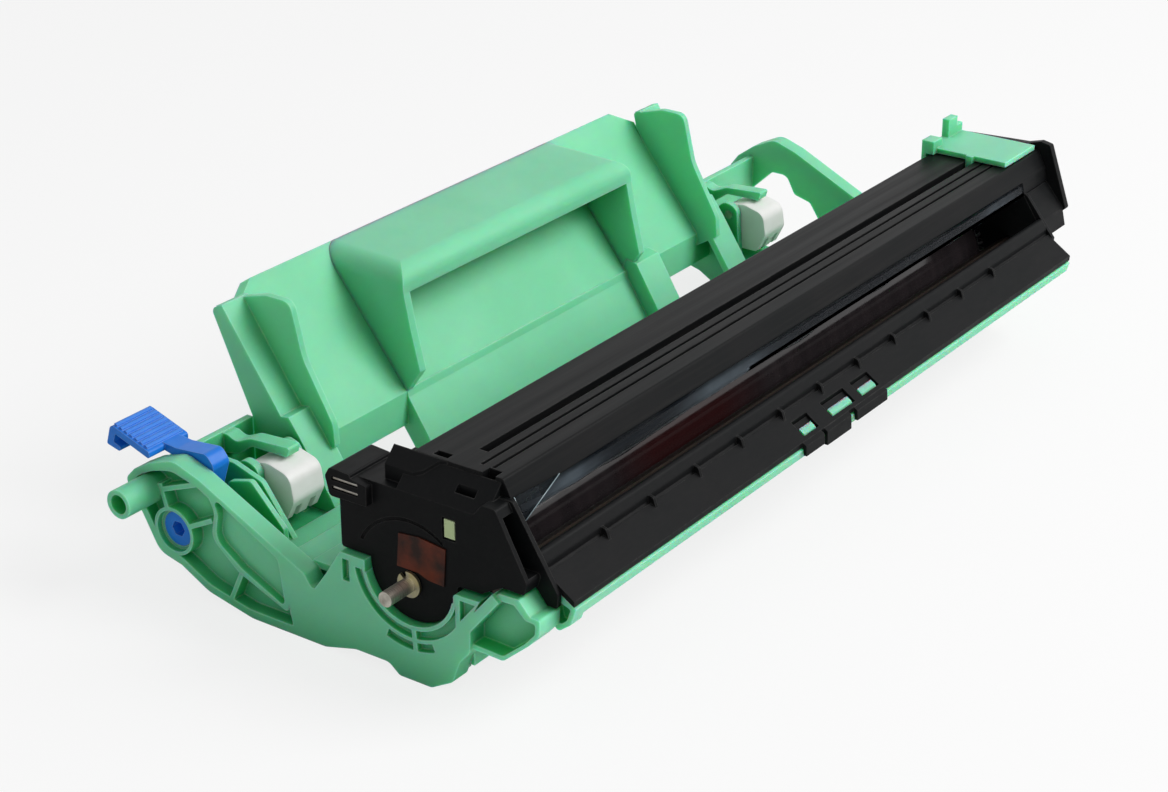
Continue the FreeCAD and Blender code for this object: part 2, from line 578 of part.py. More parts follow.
def wing(x_out, x_in):
    """Box-shaped end of the handle: outer wall, front strip, proud fin and stepped foot."""
    low, high = min(x_out, x_in), max(x_out, x_in)
    outer0 = x_out if x_out < x_in else x_out - WALL
    fin0 = x_in - WALL if x_out < x_in else x_in
    outline = [
        (REAR_WALL_Y, REAR_WALL_Z, 0.0), (HANDLE_TOP_Y - 2.6, HANDLE_TOP_Z - 1.7, 1.5),
        (HANDLE_TOP_Y - 6.0, HANDLE_TOP_Z - 0.1, 1.0), (66.2, 32.4, 0.0), (62.0, 30.0, 2.0),
        (51.4, 14.6, 2.0), (45.2, FLOOR_Z + WALL, 0.0), (FLOOR_REAR_Y, FLOOR_Z + WALL, 0.0), (REAR_WALL_Y, 14.0, 0.0),
    ]
    outer = rounded_along_x(outline, outer0, outer0 + WALL)
    front = along_x([
        (HANDLE_TOP_Y - 6.0, HANDLE_TOP_Z - 0.1), (66.2, 32.4), (66.2 + WALL, 32.0),
        (HANDLE_TOP_Y - 6.0 + WALL, HANDLE_TOP_Z - 0.7),
    ], low, high)
    fin = rounded_along_x([
        (CREASE_Y + 0.5, CREASE_Z - 4.0, 0.0), (CREASE_Y - 6.9, CREASE_Z + 0.5, 1.0),
        (CREASE_Y - 6.5, CREASE_Z + 6.5, 4.0), (HANDLE_TOP_Y - 24.4, HANDLE_TOP_Z - 12.3, 12.0),
        (HANDLE_TOP_Y - 21.0, HANDLE_TOP_Z + 1.7, 3.0), (HANDLE_TOP_Y - 13.4, HANDLE_TOP_Z + 1.7, 4.0),
        (HANDLE_TOP_Y - 3.8, HANDLE_TOP_Z - 1.1, 0.6), (HANDLE_TOP_Y - 4.8, HANDLE_TOP_Z - 5.5, 0.0),
    ], fin0, fin0 + WALL)
    foot = along_x([
        (68.0, 32.2), (63.8, 32.8), (59.6, 27.0), (51.4, 14.6), (45.2, FLOOR_Z + WALL), (47.6, FLOOR_Z + WALL),
        (53.4, 13.8), (61.2, 25.6), (66.4, 30.4),
    ], low, high)
    return outer.fuse(front).fuse(fin).fuse(foot)


def hood():
    """Rounded awning over the finger grip, with its side walls running down to the crease."""
    outside = along_x([
        (HANDLE_TOP_Y, HANDLE_TOP_Z), (HOOD_LIP_Y, HOOD_LIP_Z + 6.4), (HOOD_LIP_Y - 0.4, HOOD_LIP_Z),
        (HOOD_LIP_Y - 2.4, HOOD_LIP_Z - 9.6), (CREASE_Y - 4.5, CREASE_Z + 6.5), (CREASE_Y, CREASE_Z),
    ], HOOD_X0, HOOD_X1)
    top_z = HOOD_LIP_Z + 3.0
    rounding = [edge for edge in outside.Edges if edge.BoundBox.ZMin > top_z]
    rounding = [edge for edge in rounding if edge.BoundBox.YMin < HANDLE_TOP_Y - 1.0]
    outside = outside.makeFillet(HOOD_ROUNDING, rounding)
    slope = (HANDLE_TOP_Y - CREASE_Y) / (HANDLE_TOP_Z - CREASE_Z)
    under_z = HANDLE_TOP_Z - 4.0
    inside = along_x([
        (CREASE_Y, CREASE_Z), (CREASE_Y + slope * (under_z - CREASE_Z), under_z), (HOOD_LIP_Y + 5.0, HOOD_LIP_Z + 3.4),
        (HOOD_LIP_Y + 2.0, HOOD_LIP_Z), (HOOD_LIP_Y - 10.0, HOOD_LIP_Z), (HOOD_LIP_Y - 10.0, CREASE_Z),
    ], HOOD_X0 + HOOD_WALL, HOOD_X1 - HOOD_WALL)
    return outside.cut(inside)


def handle_hood():
    """Hood as far as the plate and the ramp that carry it."""
    return hood().cut(handle_plate()).cut(ramp()).removeSplitter()


def handle_panel():
    """Handle moulding that stands at the back of the toner bay."""
    panel = handle_plate().fuse(ramp())
    panel = panel.fuse(wing(HANDLE_X0, HANDLE_X0 + WING_WIDTH)).fuse(wing(HANDLE_X1, HANDLE_X1 - WING_WIDTH))
    for x in (HANDLE_X0 + BACK_RIB_INSET, HANDLE_X1 - BACK_RIB_INSET):
        back = along_x([
            (CREASE_Y + 1.0, STRIP_BOTTOM_Z), (CREASE_Y + 6.0, CREASE_Z - 3.0),
            (handle_slope(HOOD_LIP_Z) + 5.5, HOOD_LIP_Z), (handle_slope(HOOD_LIP_Z + 4.0) + 1.0, HOOD_LIP_Z + 4.0),
            (CREASE_Y + 1.0, CREASE_Z),
        ], x, x + RIB)
        panel = panel.fuse(back)
    return panel.removeSplitter()


# Black housing


def cap_outline():
    """Outline of the near end cap above the cradle."""
    return [
        (CAP_REAR_Y, CAP_BOTTOM_Z, 0.8), (CAP_REAR_Y, CAP_TOP_Z, 0.8), (-17.4, CAP_TOP_Z, 1.0), (-19.6, 48.0, 1.0),
        (-23.2, 48.0, 1.0), (-31.4, 32.6, 1.0), (-30.6, 30.0, 0.5), (-24.8, 30.0, 0.5),
        (-19.4, 26.8, 0.5), (LOBE_Y - LOBE_RADIUS - 0.6, 26.6, 0.3),
        (LOBE_Y - LOBE_RADIUS, CAP_BOTTOM_Z - 0.4, 0.0), (LOBE_Y + LOBE_RADIUS, CAP_BOTTOM_Z - 0.4, 0.0),
        (LOBE_Y + LOBE_RADIUS, CAP_BOTTOM_Z, 0.0),
    ]


def guide_flange(x0, x1):
    """Slanted flange at the guide's end, hooked over the frame's front corner."""
    return rounded_along_x([
        (-20.0, 46.0, 0.0), (-20.0, 48.2, 0.5), (-24.2, 48.2, 1.0), (-36.0, 29.4, 1.0), (-35.8, 26.2, 0.6),
        (-33.1, 26.2, 0.3), (-30.0, 30.0, 0.3), (-24.8, 30.4, 0.0),
    ], x0, x1)


def near_end_cap():
    """End cap that carries the drum's shaft, with the contact block at its upper rear corner."""
    cap = rounded_along_x(cap_outline(), CAP_FACE_X, CAP_INNER_X)
    cap = cap.fuse(rod(LOBE_RADIUS, CAP_FACE_X, CAP_INNER_X, LOBE_Y, LOBE_Z))
    ridge = rounded_along_x([
        (10.2, 39.6, 0.0), (10.2, 44.4, 0.5), (14.6, 45.2, 0.0), (14.8, 46.0, 0.5), (20.4, 46.4, 1.2),
        (21.8, 44.0, 1.2), (20.6, 39.4, 1.0),
    ], CAP_FACE_X - 2.0, CAP_INNER_X + 6.0)
    cap = cap.fuse(ridge).fuse(rear_deck()).fuse(near_deck())
    cap = cap.cut(along_x([(-25.6, 46.6), (-21.0, 44.0), (-27.0, 33.4), (-33.0, 33.4)],
                          CAP_FACE_X + RIB, CAP_INNER_X - RIB))
    cap = cap.fuse(guide_flange(CAP_INNER_X - RIB, CAP_INNER_X))
    cap = cap.cut(terminal_slots())
    cap = cap.cut(tube(15.6, 14.8, CAP_FACE_X, CAP_FACE_X + 0.5, 0, DRUM_AXIS_Z).common(
        block(CAP_FACE_X, CAP_FACE_X + 1.0, -9.0, 14.0, 30.0, 40.0)))
    cap = cap.cut(block(CAP_FACE_X + 2.4, CAP_FACE_X + 3.8, -16.0, -10.8, CAP_TOP_Z + 0.4, BAR_TOP_Z))
    cap = cap.cut(block(CAP_FACE_X, CAP_FACE_X + 0.8, -12.6, -9.0, 37.0, 42.2))
    return cap.cut(rod(SHAFT_RADIUS + 0.05, CAP_FACE_X, CAP_INNER_X, 0, DRUM_AXIS_Z)).removeSplitter()


def xz_face(points, y):
    """Flat face in the plane Y = y from a closed list of (x, z) corners."""
    corners = [V(x, y, z) for x, z in points]
    return Part.Face(Part.makePolygon(corners + corners[:1]))


def xy_face(points, z):
    """Flat face in the plane Z = z from a closed list of (x, y) corners."""
    corners = [V(x, y, z) for x, y in points]
    return Part.Face(Part.makePolygon(corners + corners[:1]))


def near_deck():
    """Deck that rises from the cap's face to the bar's top, with a low step towards the contact block."""
    front_y = BAR_FRONT_Y + SEAT_GAP
    step_x = CAP_FACE_X + 2.6
    step_y = -6.5
    wedge = xz_face([
        (CAP_FACE_X, CAP_TOP_Z - 1.0), (CAP_FACE_X, CAP_TOP_Z), (CAP_INNER_X, BAR_TOP_Z - 0.9),
        (CAP_INNER_X, CAP_TOP_Z - 1.0)], front_y).extrude(V(0, BAR_REAR_Y - front_y, 0))
    step = xz_face([
        (step_x, CAP_TOP_Z), (step_x, CAP_TOP_Z + 3.6), (CAP_INNER_X, BAR_TOP_Z), (CAP_INNER_X, CAP_TOP_Z),
    ], step_y).extrude(V(0, 15.0, 0))
    plan = xy_face([
        (step_x, 8.5), (step_x, 0.8), (step_x + 0.8, -1.4), (CAP_INNER_X - 0.4, -4.2), (CAP_INNER_X, step_y),
        (CAP_INNER_X, 8.5)], CAP_TOP_Z).extrude(V(0, 0, BAR_TOP_Z - CAP_TOP_Z + 1.0))
    return wedge.fuse(step.common(plan))


def rear_deck():
    """Stepped deck that fills the corner between the contact block and the long bar."""
    near_x = CAP_INNER_X - 1.0
    far_x = CAP_INNER_X + 9.5
    deck = xy_face([
        (near_x, CAP_REAR_Y), (CAP_INNER_X + 3.6, CAP_REAR_Y), (far_x, 12.8), (far_x, BAR_REAR_Y), (near_x, BAR_REAR_Y),
    ], 38.0).extrude(V(0, 0, CAP_TOP_Z - 38.0))
    rail = block(CAP_INNER_X - 1.0, CAP_INNER_X + 7.0, BAR_REAR_Y, BAR_REAR_Y + 5.0, 38.0, 48.6)
    return deck.fuse(rail)


def terminal_slots():
    """Two narrow windows in the contact block's end."""
    cuts = None
    for z in (41.2, 43.4):
        cut = block(CAP_FACE_X - 2.0, CAP_FACE_X - 0.8, 12.6, 20.0, z, z + 0.9)
        cuts = cut if cuts is None else cuts.fuse(cut)
    return cuts


def bar_section():
    return [
        (BAR_REAR_Y, BAR_BOTTOM_Z, 0.0), (BAR_REAR_Y, BAR_TOP_Z, 0.8), (BAR_FRONT_Y, BAR_TOP_Z, 0.8),
        (BAR_FRONT_Y - 2.5, BAR_TOP_Z - 4.8, 0.5), (BAR_FRONT_Y - 3.1, BAR_TOP_Z - 8.6, 0.5),
        (CHANNEL_FRONT_Y - 1.5, BAR_BOTTOM_Z + 0.8, 0.0), (CHANNEL_FRONT_Y - 1.5, BAR_BOTTOM_Z, 0.0),
    ]


def corona_housing():
    """Long top moulding that holds the charging wire above the drum."""
    bar = rounded_along_x(bar_section(), CAP_INNER_X, FAR_CAP_X0)
    channel = block(CHANNEL_X0, CHANNEL_X1, CHANNEL_FRONT_Y, BAR_REAR_Y - WALL, BAR_BOTTOM_Z - 1, BAR_TOP_Z - WALL)
    bar = bar.cut(channel)
    slot_x1 = CLEANER_STEM_X + 6.0
    slot = block(CHANNEL_X0 + WIRE_BLOCK, slot_x1, SLOT_Y0, SLOT_Y1, BAR_TOP_Z - WALL - 1, BAR_TOP_Z + 1)
    slot = slot.fuse(block(slot_x1, FAR_CAP_X0 - 4.0, SLOT_Y0, SLOT_Y1, BAR_TOP_Z - 0.6, BAR_TOP_Z + 1))
    bar = bar.cut(slot)
    for y in (SLOT_Y0 - 2.9, SLOT_Y0 - 6.0):
        bar = bar.cut(block(CAP_INNER_X + 3.0, FAR_CAP_X0 - 6.0, y, y + FINE_GROOVE, BAR_TOP_Z - 1.0, BAR_TOP_Z + 1))
    bar = bar.cut(block(CAP_INNER_X, CAP_INNER_X + 2.6, -19.0, -15.4, BAR_TOP_Z - 3.0, BAR_TOP_Z + 1))
    bar = bar.cut(block(CAP_INNER_X + 1.0, CAP_INNER_X + 3.0, -5.4, -1.4, BAR_TOP_Z - 3.0, BAR_TOP_Z + 1))
    front_room = along_x([
        (CHANNEL_FRONT_Y - 2.1, BAR_BOTTOM_Z + 3.0), (CHANNEL_FRONT_Y - 2.1, BAR_TOP_Z - 2.4),
        (BAR_FRONT_Y + 1.1, BAR_TOP_Z - 2.4), (BAR_FRONT_Y - 0.5, BAR_TOP_Z - 5.6), (BAR_FRONT_Y - 0.9, BAR_TOP_Z - 7.8),
    ], CAP_INNER_X + WALL, FAR_CAP_X0 - WALL)
    return bar.cut(front_room).removeSplitter()


def far_end_cap():
    """Far end wall, taller than the bar, with the sloping flange that closes the exit guide."""
    outline = [
        (CAP_REAR_Y - 4.0, CAP_BOTTOM_Z, 0.8), (BAR_REAR_Y + 1.0, BAR_TOP_Z + 0.4, 1.0), (-17.0, BAR_TOP_Z + 1.4, 2.0),
        (-21.3, 54.8, 0.8), (-24.3, 54.2, 0.8), (-30.6, 36.4, 0.8), (-27.0, 33.6, 0.6), (-28.2, 30.0, 0.6),
        (-25.0, 29.8, 0.5), (-19.4, 26.8, 0.5), (LOBE_Y - LOBE_RADIUS - 0.6, 26.6, 0.3),
        (LOBE_Y - LOBE_RADIUS, CAP_BOTTOM_Z - 0.4, 0.0), (LOBE_Y + LOBE_RADIUS, CAP_BOTTOM_Z - 0.4, 0.0),
        (LOBE_Y + LOBE_RADIUS, CAP_BOTTOM_Z, 0.0),
    ]
    cap = rounded_along_x(outline, FAR_CAP_X0, FAR_CAP_X1)
    cap = cap.fuse(rod(LOBE_RADIUS, FAR_CAP_X0, FAR_CAP_X1, LOBE_Y, LOBE_Z))
    cap = cap.cut(rod(SHAFT_RADIUS + 0.05, FAR_CAP_X0, FAR_CAP_X1, 0, DRUM_AXIS_Z))
    closing = along_x([
        (-13.2, 37.9), (-24.0, 43.5), (-29.6, 36.6), (-30.8, 31.6), (-28.8, 31.0), (-27.6, 35.0), (-22.8, 40.8),
        (-14.0, 36.4)], GUIDE_X1, FAR_CAP_X0)
    flange = along_x([
        (-13.2, 37.9), (-22.0, 45.0), (-25.0, 43.2), (-33.6, 32.4), (-33.4, 30.0), (-28.8, 31.0), (-17.0, 34.4)],
        GUIDE_X1, GUIDE_X1 + RIB)
    bar = rounded_along_x(bar_section(), GUIDE_X1, FAR_CAP_X0)
    return cap.fuse(closing.cut(bar)).fuse(flange.cut(bar)).removeSplitter()


def guide_plane(y):
    """Height of the exit guide's sloping face."""
    return GUIDE_FRONT_Z + (y - GUIDE_FRONT_Y) * (GUIDE_STEP_Z - GUIDE_FRONT_Z) / (GUIDE_STEP_Y - GUIDE_FRONT_Y)


def exit_guide():
    """Sloping ribbed guide that the paper leaves over, with its ridge along the drum."""
    section = [
        (GUIDE_FRONT_Y, GUIDE_FRONT_Z, 0.0), (GUIDE_STEP_Y - 0.5, guide_plane(GUIDE_STEP_Y - 0.5), 0.0),
        (GUIDE_STEP_Y - 0.2, GUIDE_STEP_Z - 0.7, 0.0), (GUIDE_STEP_Y + 0.3, GUIDE_STEP_Z - 0.2, 0.0),
        (GUIDE_STEP_Y + 0.2, GUIDE_STEP_Z + 1.3, 0.8), (GUIDE_RIDGE_Y - 0.2, GUIDE_RIDGE_Z, 1.2),
        (GUIDE_RIDGE_Y + 1.2, GUIDE_RIDGE_Z - 0.4, 0.6), (GUIDE_RIDGE_Y + 1.1, GUIDE_RIDGE_Z - 3.5, 0.0),
        (GUIDE_RIDGE_Y - 1.7, GUIDE_RIDGE_Z - 5.5, 0.0), (GUIDE_FRONT_Y + 0.1, GUIDE_FRONT_Z - 1.4, 0.0),
    ]
    guide = rounded_along_x(section, CAP_INNER_X, GUIDE_X1)
    for index in range(GUIDE_FIN_COUNT):
        x = GUIDE_FIN_FIRST_X + index * GUIDE_FIN_PITCH
        guide = guide.fuse(guide_fin(x - GUIDE_FIN_WIDTH / 2, x + GUIDE_FIN_WIDTH / 2))
    for x0, x1, depth in guide_bulges():
        bulge = along_x([
            (GUIDE_FRONT_Y + 0.2, GUIDE_FRONT_Z), (GUIDE_FRONT_Y - 1.0, GUIDE_FRONT_Z - 0.8),
            (GUIDE_FRONT_Y - 1.2, GUIDE_FRONT_Z - depth), (GUIDE_FRONT_Y - 0.3, GUIDE_FRONT_Z - depth),
            (GUIDE_FRONT_Y - 0.2, GUIDE_FRONT_Z - 1.9), (GUIDE_FRONT_Y + 0.1, GUIDE_FRONT_Z - 1.4)], x0, x1)
        guide = guide.fuse(bulge)
    for x0, x1 in catch_windows():
        guide = guide.cut(along_x([
            (WINDOW_FRONT_Y, guide_plane(WINDOW_FRONT_Y) + 2.0), (WINDOW_REAR_Y, guide_plane(WINDOW_REAR_Y) + 2.0),
            (WINDOW_REAR_Y + 0.6, guide_plane(WINDOW_REAR_Y) - 3.0), (WINDOW_FRONT_Y, guide_plane(WINDOW_FRONT_Y) - 3.0)],
            x0, x1))
    return guide.removeSplitter()


def guide_fin(x0, x1):
    """Half-round fin across the groove at the ridge's foot."""
    return rounded_along_x([
        (GUIDE_STEP_Y + 1.0, GUIDE_STEP_Z - 0.4, 0.0), (GUIDE_STEP_Y + 1.0, GUIDE_STEP_Z + 1.5, 0.4),
        (GUIDE_STEP_Y - 1.1, GUIDE_STEP_Z + 1.1, 1.0), (GUIDE_STEP_Y - 1.9, guide_plane(GUIDE_STEP_Y - 1.9), 0.0),
        (GUIDE_STEP_Y - 0.6, GUIDE_STEP_Z - 1.2, 0.0),
    ], x0, x1)


def guide_bulges():
    """Ends along X and depth of the bulges that hang over the front beam around the catches."""
    places = [(-27.0, -18.5, 3.4), (-17.0, -5.5, 4.4), (-2.5, 12.5, 3.4)]
    return [(DRUM_CENTRE_X + x0, DRUM_CENTRE_X + x1, depth) for x0, x1, depth in places]


def catch_windows():
    """Places along X of the three windows that the frame's catches show through."""
    places = [(-25.0, -18.0), (-11.5, -0.5), (3.0, 11.5)]
    return [(DRUM_CENTRE_X + x0, DRUM_CENTRE_X + x1) for x0, x1 in places]


def catch(x0, x1):
    """Green snap catch that stands on the front beam inside one window of the guide."""
    gap = 0.8
    front = WINDOW_FRONT_Y + SEAT_GAP
    rear = WINDOW_FRONT_Y + 2.0
    return along_x([
        (front, guide_plane(front) - 3.2), (front, guide_plane(front) - 0.6), (front + 0.4, guide_plane(front)),
        (rear, guide_plane(rear) - 0.3), (rear, guide_plane(rear) - 3.2)], x0 + gap, x1 - gap)


def film_strip():
    """Thin flexible film under the bar's front edge."""
    return along_x([
        (BAR_FRONT_Y - 3.2, BAR_TOP_Z - 8.7), (BAR_FRONT_Y - 2.8, BAR_TOP_Z - 5.0), (BAR_FRONT_Y - 3.1, BAR_TOP_Z - 4.9),
        (BAR_FRONT_Y - 4.3, BAR_TOP_Z - 10.6), (BAR_FRONT_Y - 4.0, BAR_TOP_Z - 10.7),
    ], CAP_INNER_X + 1.0, GUIDE_X1 - 1.0)


# Charging wire and its parts


def corona_grid():
    """Thin control grid just above the drum."""
    grid = block(CHANNEL_X0, CHANNEL_X1, CHANNEL_FRONT_Y - 1.0, BAR_REAR_Y - 0.8, BAR_BOTTOM_Z - 0.3, BAR_BOTTOM_Z)
    for side in (CHANNEL_FRONT_Y + 1.6, CHANNEL_FRONT_Y + 6.9):
        grid = grid.cut(block(DRUM_X0 + 6.0, DRUM_X1 - 4.0, side, side + 4.4, BAR_BOTTOM_Z - 1, BAR_BOTTOM_Z + 1))
    return grid


def wire_block(x0, x1):
    """Plastic block that holds one end of the charging wire."""
    holder = block(x0, x1, CHANNEL_FRONT_Y + 0.1, BAR_REAR_Y - WALL - 0.1, 40.5, BAR_TOP_Z - WALL)
    return holder.cut(rod(0.15, x0, x1, WIRE_Y, WIRE_Z))


def charge_wire():
    return rod(0.15, CHANNEL_X0 + 1.0, CHANNEL_X1 - 1.0, WIRE_Y, WIRE_Z)


def wire_cleaner():
    """Green slider that wipes the charging wire, with its grip above the slot."""
    x0, x1 = CLEANER_X, CLEANER_X + CLEANER_LENGTH
    stem_x = CLEANER_STEM_X
    top = BAR_TOP_Z + SEAT_GAP
    rear_y = BAR_REAR_Y + SEAT_GAP
    plate = block(x0, x1, -20.2, rear_y + 1.4, top, top + 1.5)
    rear = block(x0 - 2.0, x1, rear_y, rear_y + 1.4, BAR_TOP_Z - 3.0, top + 1.5)
    stem = block(stem_x, stem_x + 5.0, SLOT_Y0 + 0.2, SLOT_Y1 - 0.2, WIRE_Z - 2.0, top + 0.5)
    foot = block(stem_x, stem_x + 5.0, SLOT_Y0 + 0.2, WIRE_Y + 2.0, WIRE_Z - 2.0, WIRE_Z + 2.0)
    groove = block(stem_x, stem_x + 5.0, WIRE_Y - 0.5, WIRE_Y + 0.5, WIRE_Z - 2.0, WIRE_Z + 0.5)
    bridge = block(stem_x, x0 + 1.0, SLOT_Y0 + 0.2, SLOT_Y1 - 0.2, top, top + 1.5)
    peg = block(x0 - 2.0, x0 + 3.0, rear_y - 2.4, rear_y + 1.4, top, top + 3.8)
    grip = block(x0 + 10.0, x0 + 15.0, rear_y - 0.8, rear_y + 1.4, top + 1.0, top + 6.8)
    step = block(x0 + 15.0, x1, rear_y - 0.8, rear_y + 1.4, top + 1.0, top + 4.0)
    slider = plate.fuse(rear).fuse(stem).fuse(foot).cut(groove)
    return slider.fuse(bridge).fuse(peg).fuse(grip).fuse(step).removeSplitter()


# Drum


def opc_drum():
    return tube(DRUM_RADIUS, DRUM_RADIUS - DRUM_WALL, DRUM_X0, DRUM_X1, 0, DRUM_AXIS_Z)


def near_flange():
    """Plug in the drum's near end that turns on the shaft."""
    plug = rod(DRUM_RADIUS - DRUM_WALL, DRUM_X0, DRUM_X0 + 8.0, 0, DRUM_AXIS_Z)
    rim = rod(DRUM_RADIUS, DRUM_X0 - 1.2, DRUM_X0, 0, DRUM_AXIS_Z)
    hub = rod(4.0, CAP_INNER_X + SEAT_GAP, DRUM_X0, 0, DRUM_AXIS_Z)
    flange = plug.fuse(rim).fuse(hub)
    flange = flange.cut(tube(DRUM_RADIUS - DRUM_WALL - 2.0, 4.5, DRUM_X0 + 2.0, DRUM_X0 + 8.0, 0, DRUM_AXIS_Z))
    return flange.cut(rod(SHAFT_RADIUS + PIVOT_CLEARANCE, CAP_INNER_X, DRUM_X0 + 8.0, 0, DRUM_AXIS_Z))


def mesh_turns():
    """Turns of the two gears that put a drum tooth in a gap of the roller's gear."""
    towards = math.pi + ROLLER_ANGLE
    return towards, towards + math.pi + math.pi / ROLLER_TEETH


def drum_gear():
    """Plug in the drum's far end with the gear that the printer drives."""
    turn, _ = mesh_turns()
    gear_x = DRUM_X1 + GEAR_OFFSET
    plug = rod(DRUM_RADIUS - DRUM_WALL, DRUM_X1 - 8.0, DRUM_X1, 0, DRUM_AXIS_Z)
    collar = rod(DRUM_RADIUS - 1.6, DRUM_X1, gear_x, 0, DRUM_AXIS_Z)
    gear = involute_gear(DRUM_TEETH, GEAR_WIDTH, gear_x, 0, DRUM_AXIS_Z, turn, SHAFT_RADIUS)
    hub = rod(5.0, gear_x + GEAR_WIDTH, FAR_CAP_X0 - SEAT_GAP, 0, DRUM_AXIS_Z)
    flange = plug.fuse(collar).fuse(gear).fuse(hub)
    return flange.cut(rod(SHAFT_RADIUS + PIVOT_CLEARANCE, DRUM_X1 - 8.0, FAR_CAP_X0, 0, DRUM_AXIS_Z))


def drum_shaft():
    """Fixed steel shaft through the drum, grooved for its clip."""
    shaft = rod(SHAFT_RADIUS, CAP_FACE_X - SHAFT_OUT, FAR_CAP_X1, 0, DRUM_AXIS_Z)
    return shaft.cut(tube(SHAFT_RADIUS + 1, SHAFT_RADIUS - 0.35, CLIP_X, CLIP_X + CLIP_THICKNESS, 0, DRUM_AXIS_Z))


def shaft_clip():
    """Open retaining ring in the shaft's groove."""
    x1 = CLIP_X + CLIP_THICKNESS
    ring = tube(CLIP_RADIUS, SHAFT_RADIUS - 0.35, CLIP_X, x1, 0, DRUM_AXIS_Z)
    mouth = along_x([(0, DRUM_AXIS_Z), (5, DRUM_AXIS_Z + 4.5), (1.5, DRUM_AXIS_Z + 6)], CLIP_X, x1)
    return ring.cut(mouth)


def shaft_contact():
    """Thin bronze plate on the cap's face, from the shaft up to the contact block."""
    plate = along_x([
        (2.9, 34.8), (-2.6, 35.4), (-10.0, 34.6), (-9.4, 25.4), (-5.0, 25.6), (-2.4, DRUM_AXIS_Z + CLIP_RADIUS + 0.3),
        (3.6, DRUM_AXIS_Z + CLIP_RADIUS + 0.3)],
        CAP_FACE_X - 0.35, CAP_FACE_X)
    return plate


def grid_contact():
    """Bright contact pad in its window."""
    return block(CAP_FACE_X + 0.2, CAP_FACE_X + 0.8, -12.2, -9.4, 37.4, 41.8)


def charge_terminal():
    """Folded strip whose two edges show in the contact block."""
    pad = None
    for z in (41.2, 43.4):
        strip = block(CAP_FACE_X - 1.6, CAP_FACE_X - 0.8, 12.8, 19.8, z + 0.15, z + 0.75)
        pad = strip if pad is None else pad.fuse(strip)
    return pad


# Transfer roller


def transfer_foam():
    return tube(ROLLER_RADIUS, ROLLER_SHAFT_RADIUS, DRUM_X0 + 4.0, DRUM_X1 - 6.0, ROLLER_Y, ROLLER_Z)


def transfer_shaft():
    return rod(ROLLER_SHAFT_RADIUS, NEAR_INNER_X + 0.5, FAR_INNER_X - 3.0, ROLLER_Y, ROLLER_Z)


def transfer_gear():
    _, turn = mesh_turns()
    gear_x = DRUM_X1 + GEAR_OFFSET
    return involute_gear(ROLLER_TEETH, GEAR_WIDTH, gear_x, ROLLER_Y, ROLLER_Z, turn, ROLLER_SHAFT_RADIUS)


def bearing_places():
    """Starts along X of the two roller bearings, outside the drum's ends."""
    return [DRUM_X0 - BEARING_WIDTH - 0.5, DRUM_X1 + GEAR_OFFSET + GEAR_WIDTH + 1.0]


def roller_bearing(x0):
    """Square-sided plastic bearing that slides in its seat on the bed."""
    half = BEARING_OUTER
    body = rounded_along_x([
        (ROLLER_Y - half, ROLLER_Z - half, half - 1.0), (ROLLER_Y + half, ROLLER_Z - half, 0.6),
        (ROLLER_Y + half, ROLLER_Z, 0.0), (ROLLER_Y + half, ROLLER_Z + half, half - 0.1),
        (ROLLER_Y - half, ROLLER_Z + half, half - 0.1), (ROLLER_Y - half, ROLLER_Z, 0.0),
    ], x0, x0 + BEARING_WIDTH)
    body = body.cut(Part.makeCylinder(1.9, 1.4, V(x0 + BEARING_WIDTH / 2, ROLLER_Y, ROLLER_Z - half)))
    return body.cut(rod(ROLLER_SHAFT_RADIUS + PIVOT_CLEARANCE, x0, x0 + BEARING_WIDTH, ROLLER_Y, ROLLER_Z))


def bearing_spring(x0):
    """Short coil between the bed and a bearing that presses the roller to the drum."""
    start = BED_Z + 0.8 + RIB + SPRING_WIRE / 2
    end = ROLLER_Z - BEARING_OUTER + 1.4 - SPRING_WIRE / 2
    return coil_spring(1.4, SPRING_WIRE, end - start, 2, V(x0 + BEARING_WIDTH / 2, ROLLER_Y, start), V(0, 0, 1))


def drum_brush():
    """Bristle strip in front of the drum that keeps paper dust off it."""
    return along_x([(-12.5, 20.4), (-12.5, 24.4), (-16.6, 26.4), (-16.6, 21.6)], DRUM_X0 + 4.0, DRUM_X1 - 4.0)


def brush_plate():
    """Bent sheet that carries the bristle strip between the side plates."""
    return sheet([(-20.2, 30.2), (-16.6, 28.0), (-16.6, 20.8)], -0.8, CAP_INNER_X + SEAT_GAP, GUIDE_X1 - SEAT_GAP)


# Lock lever and pushers


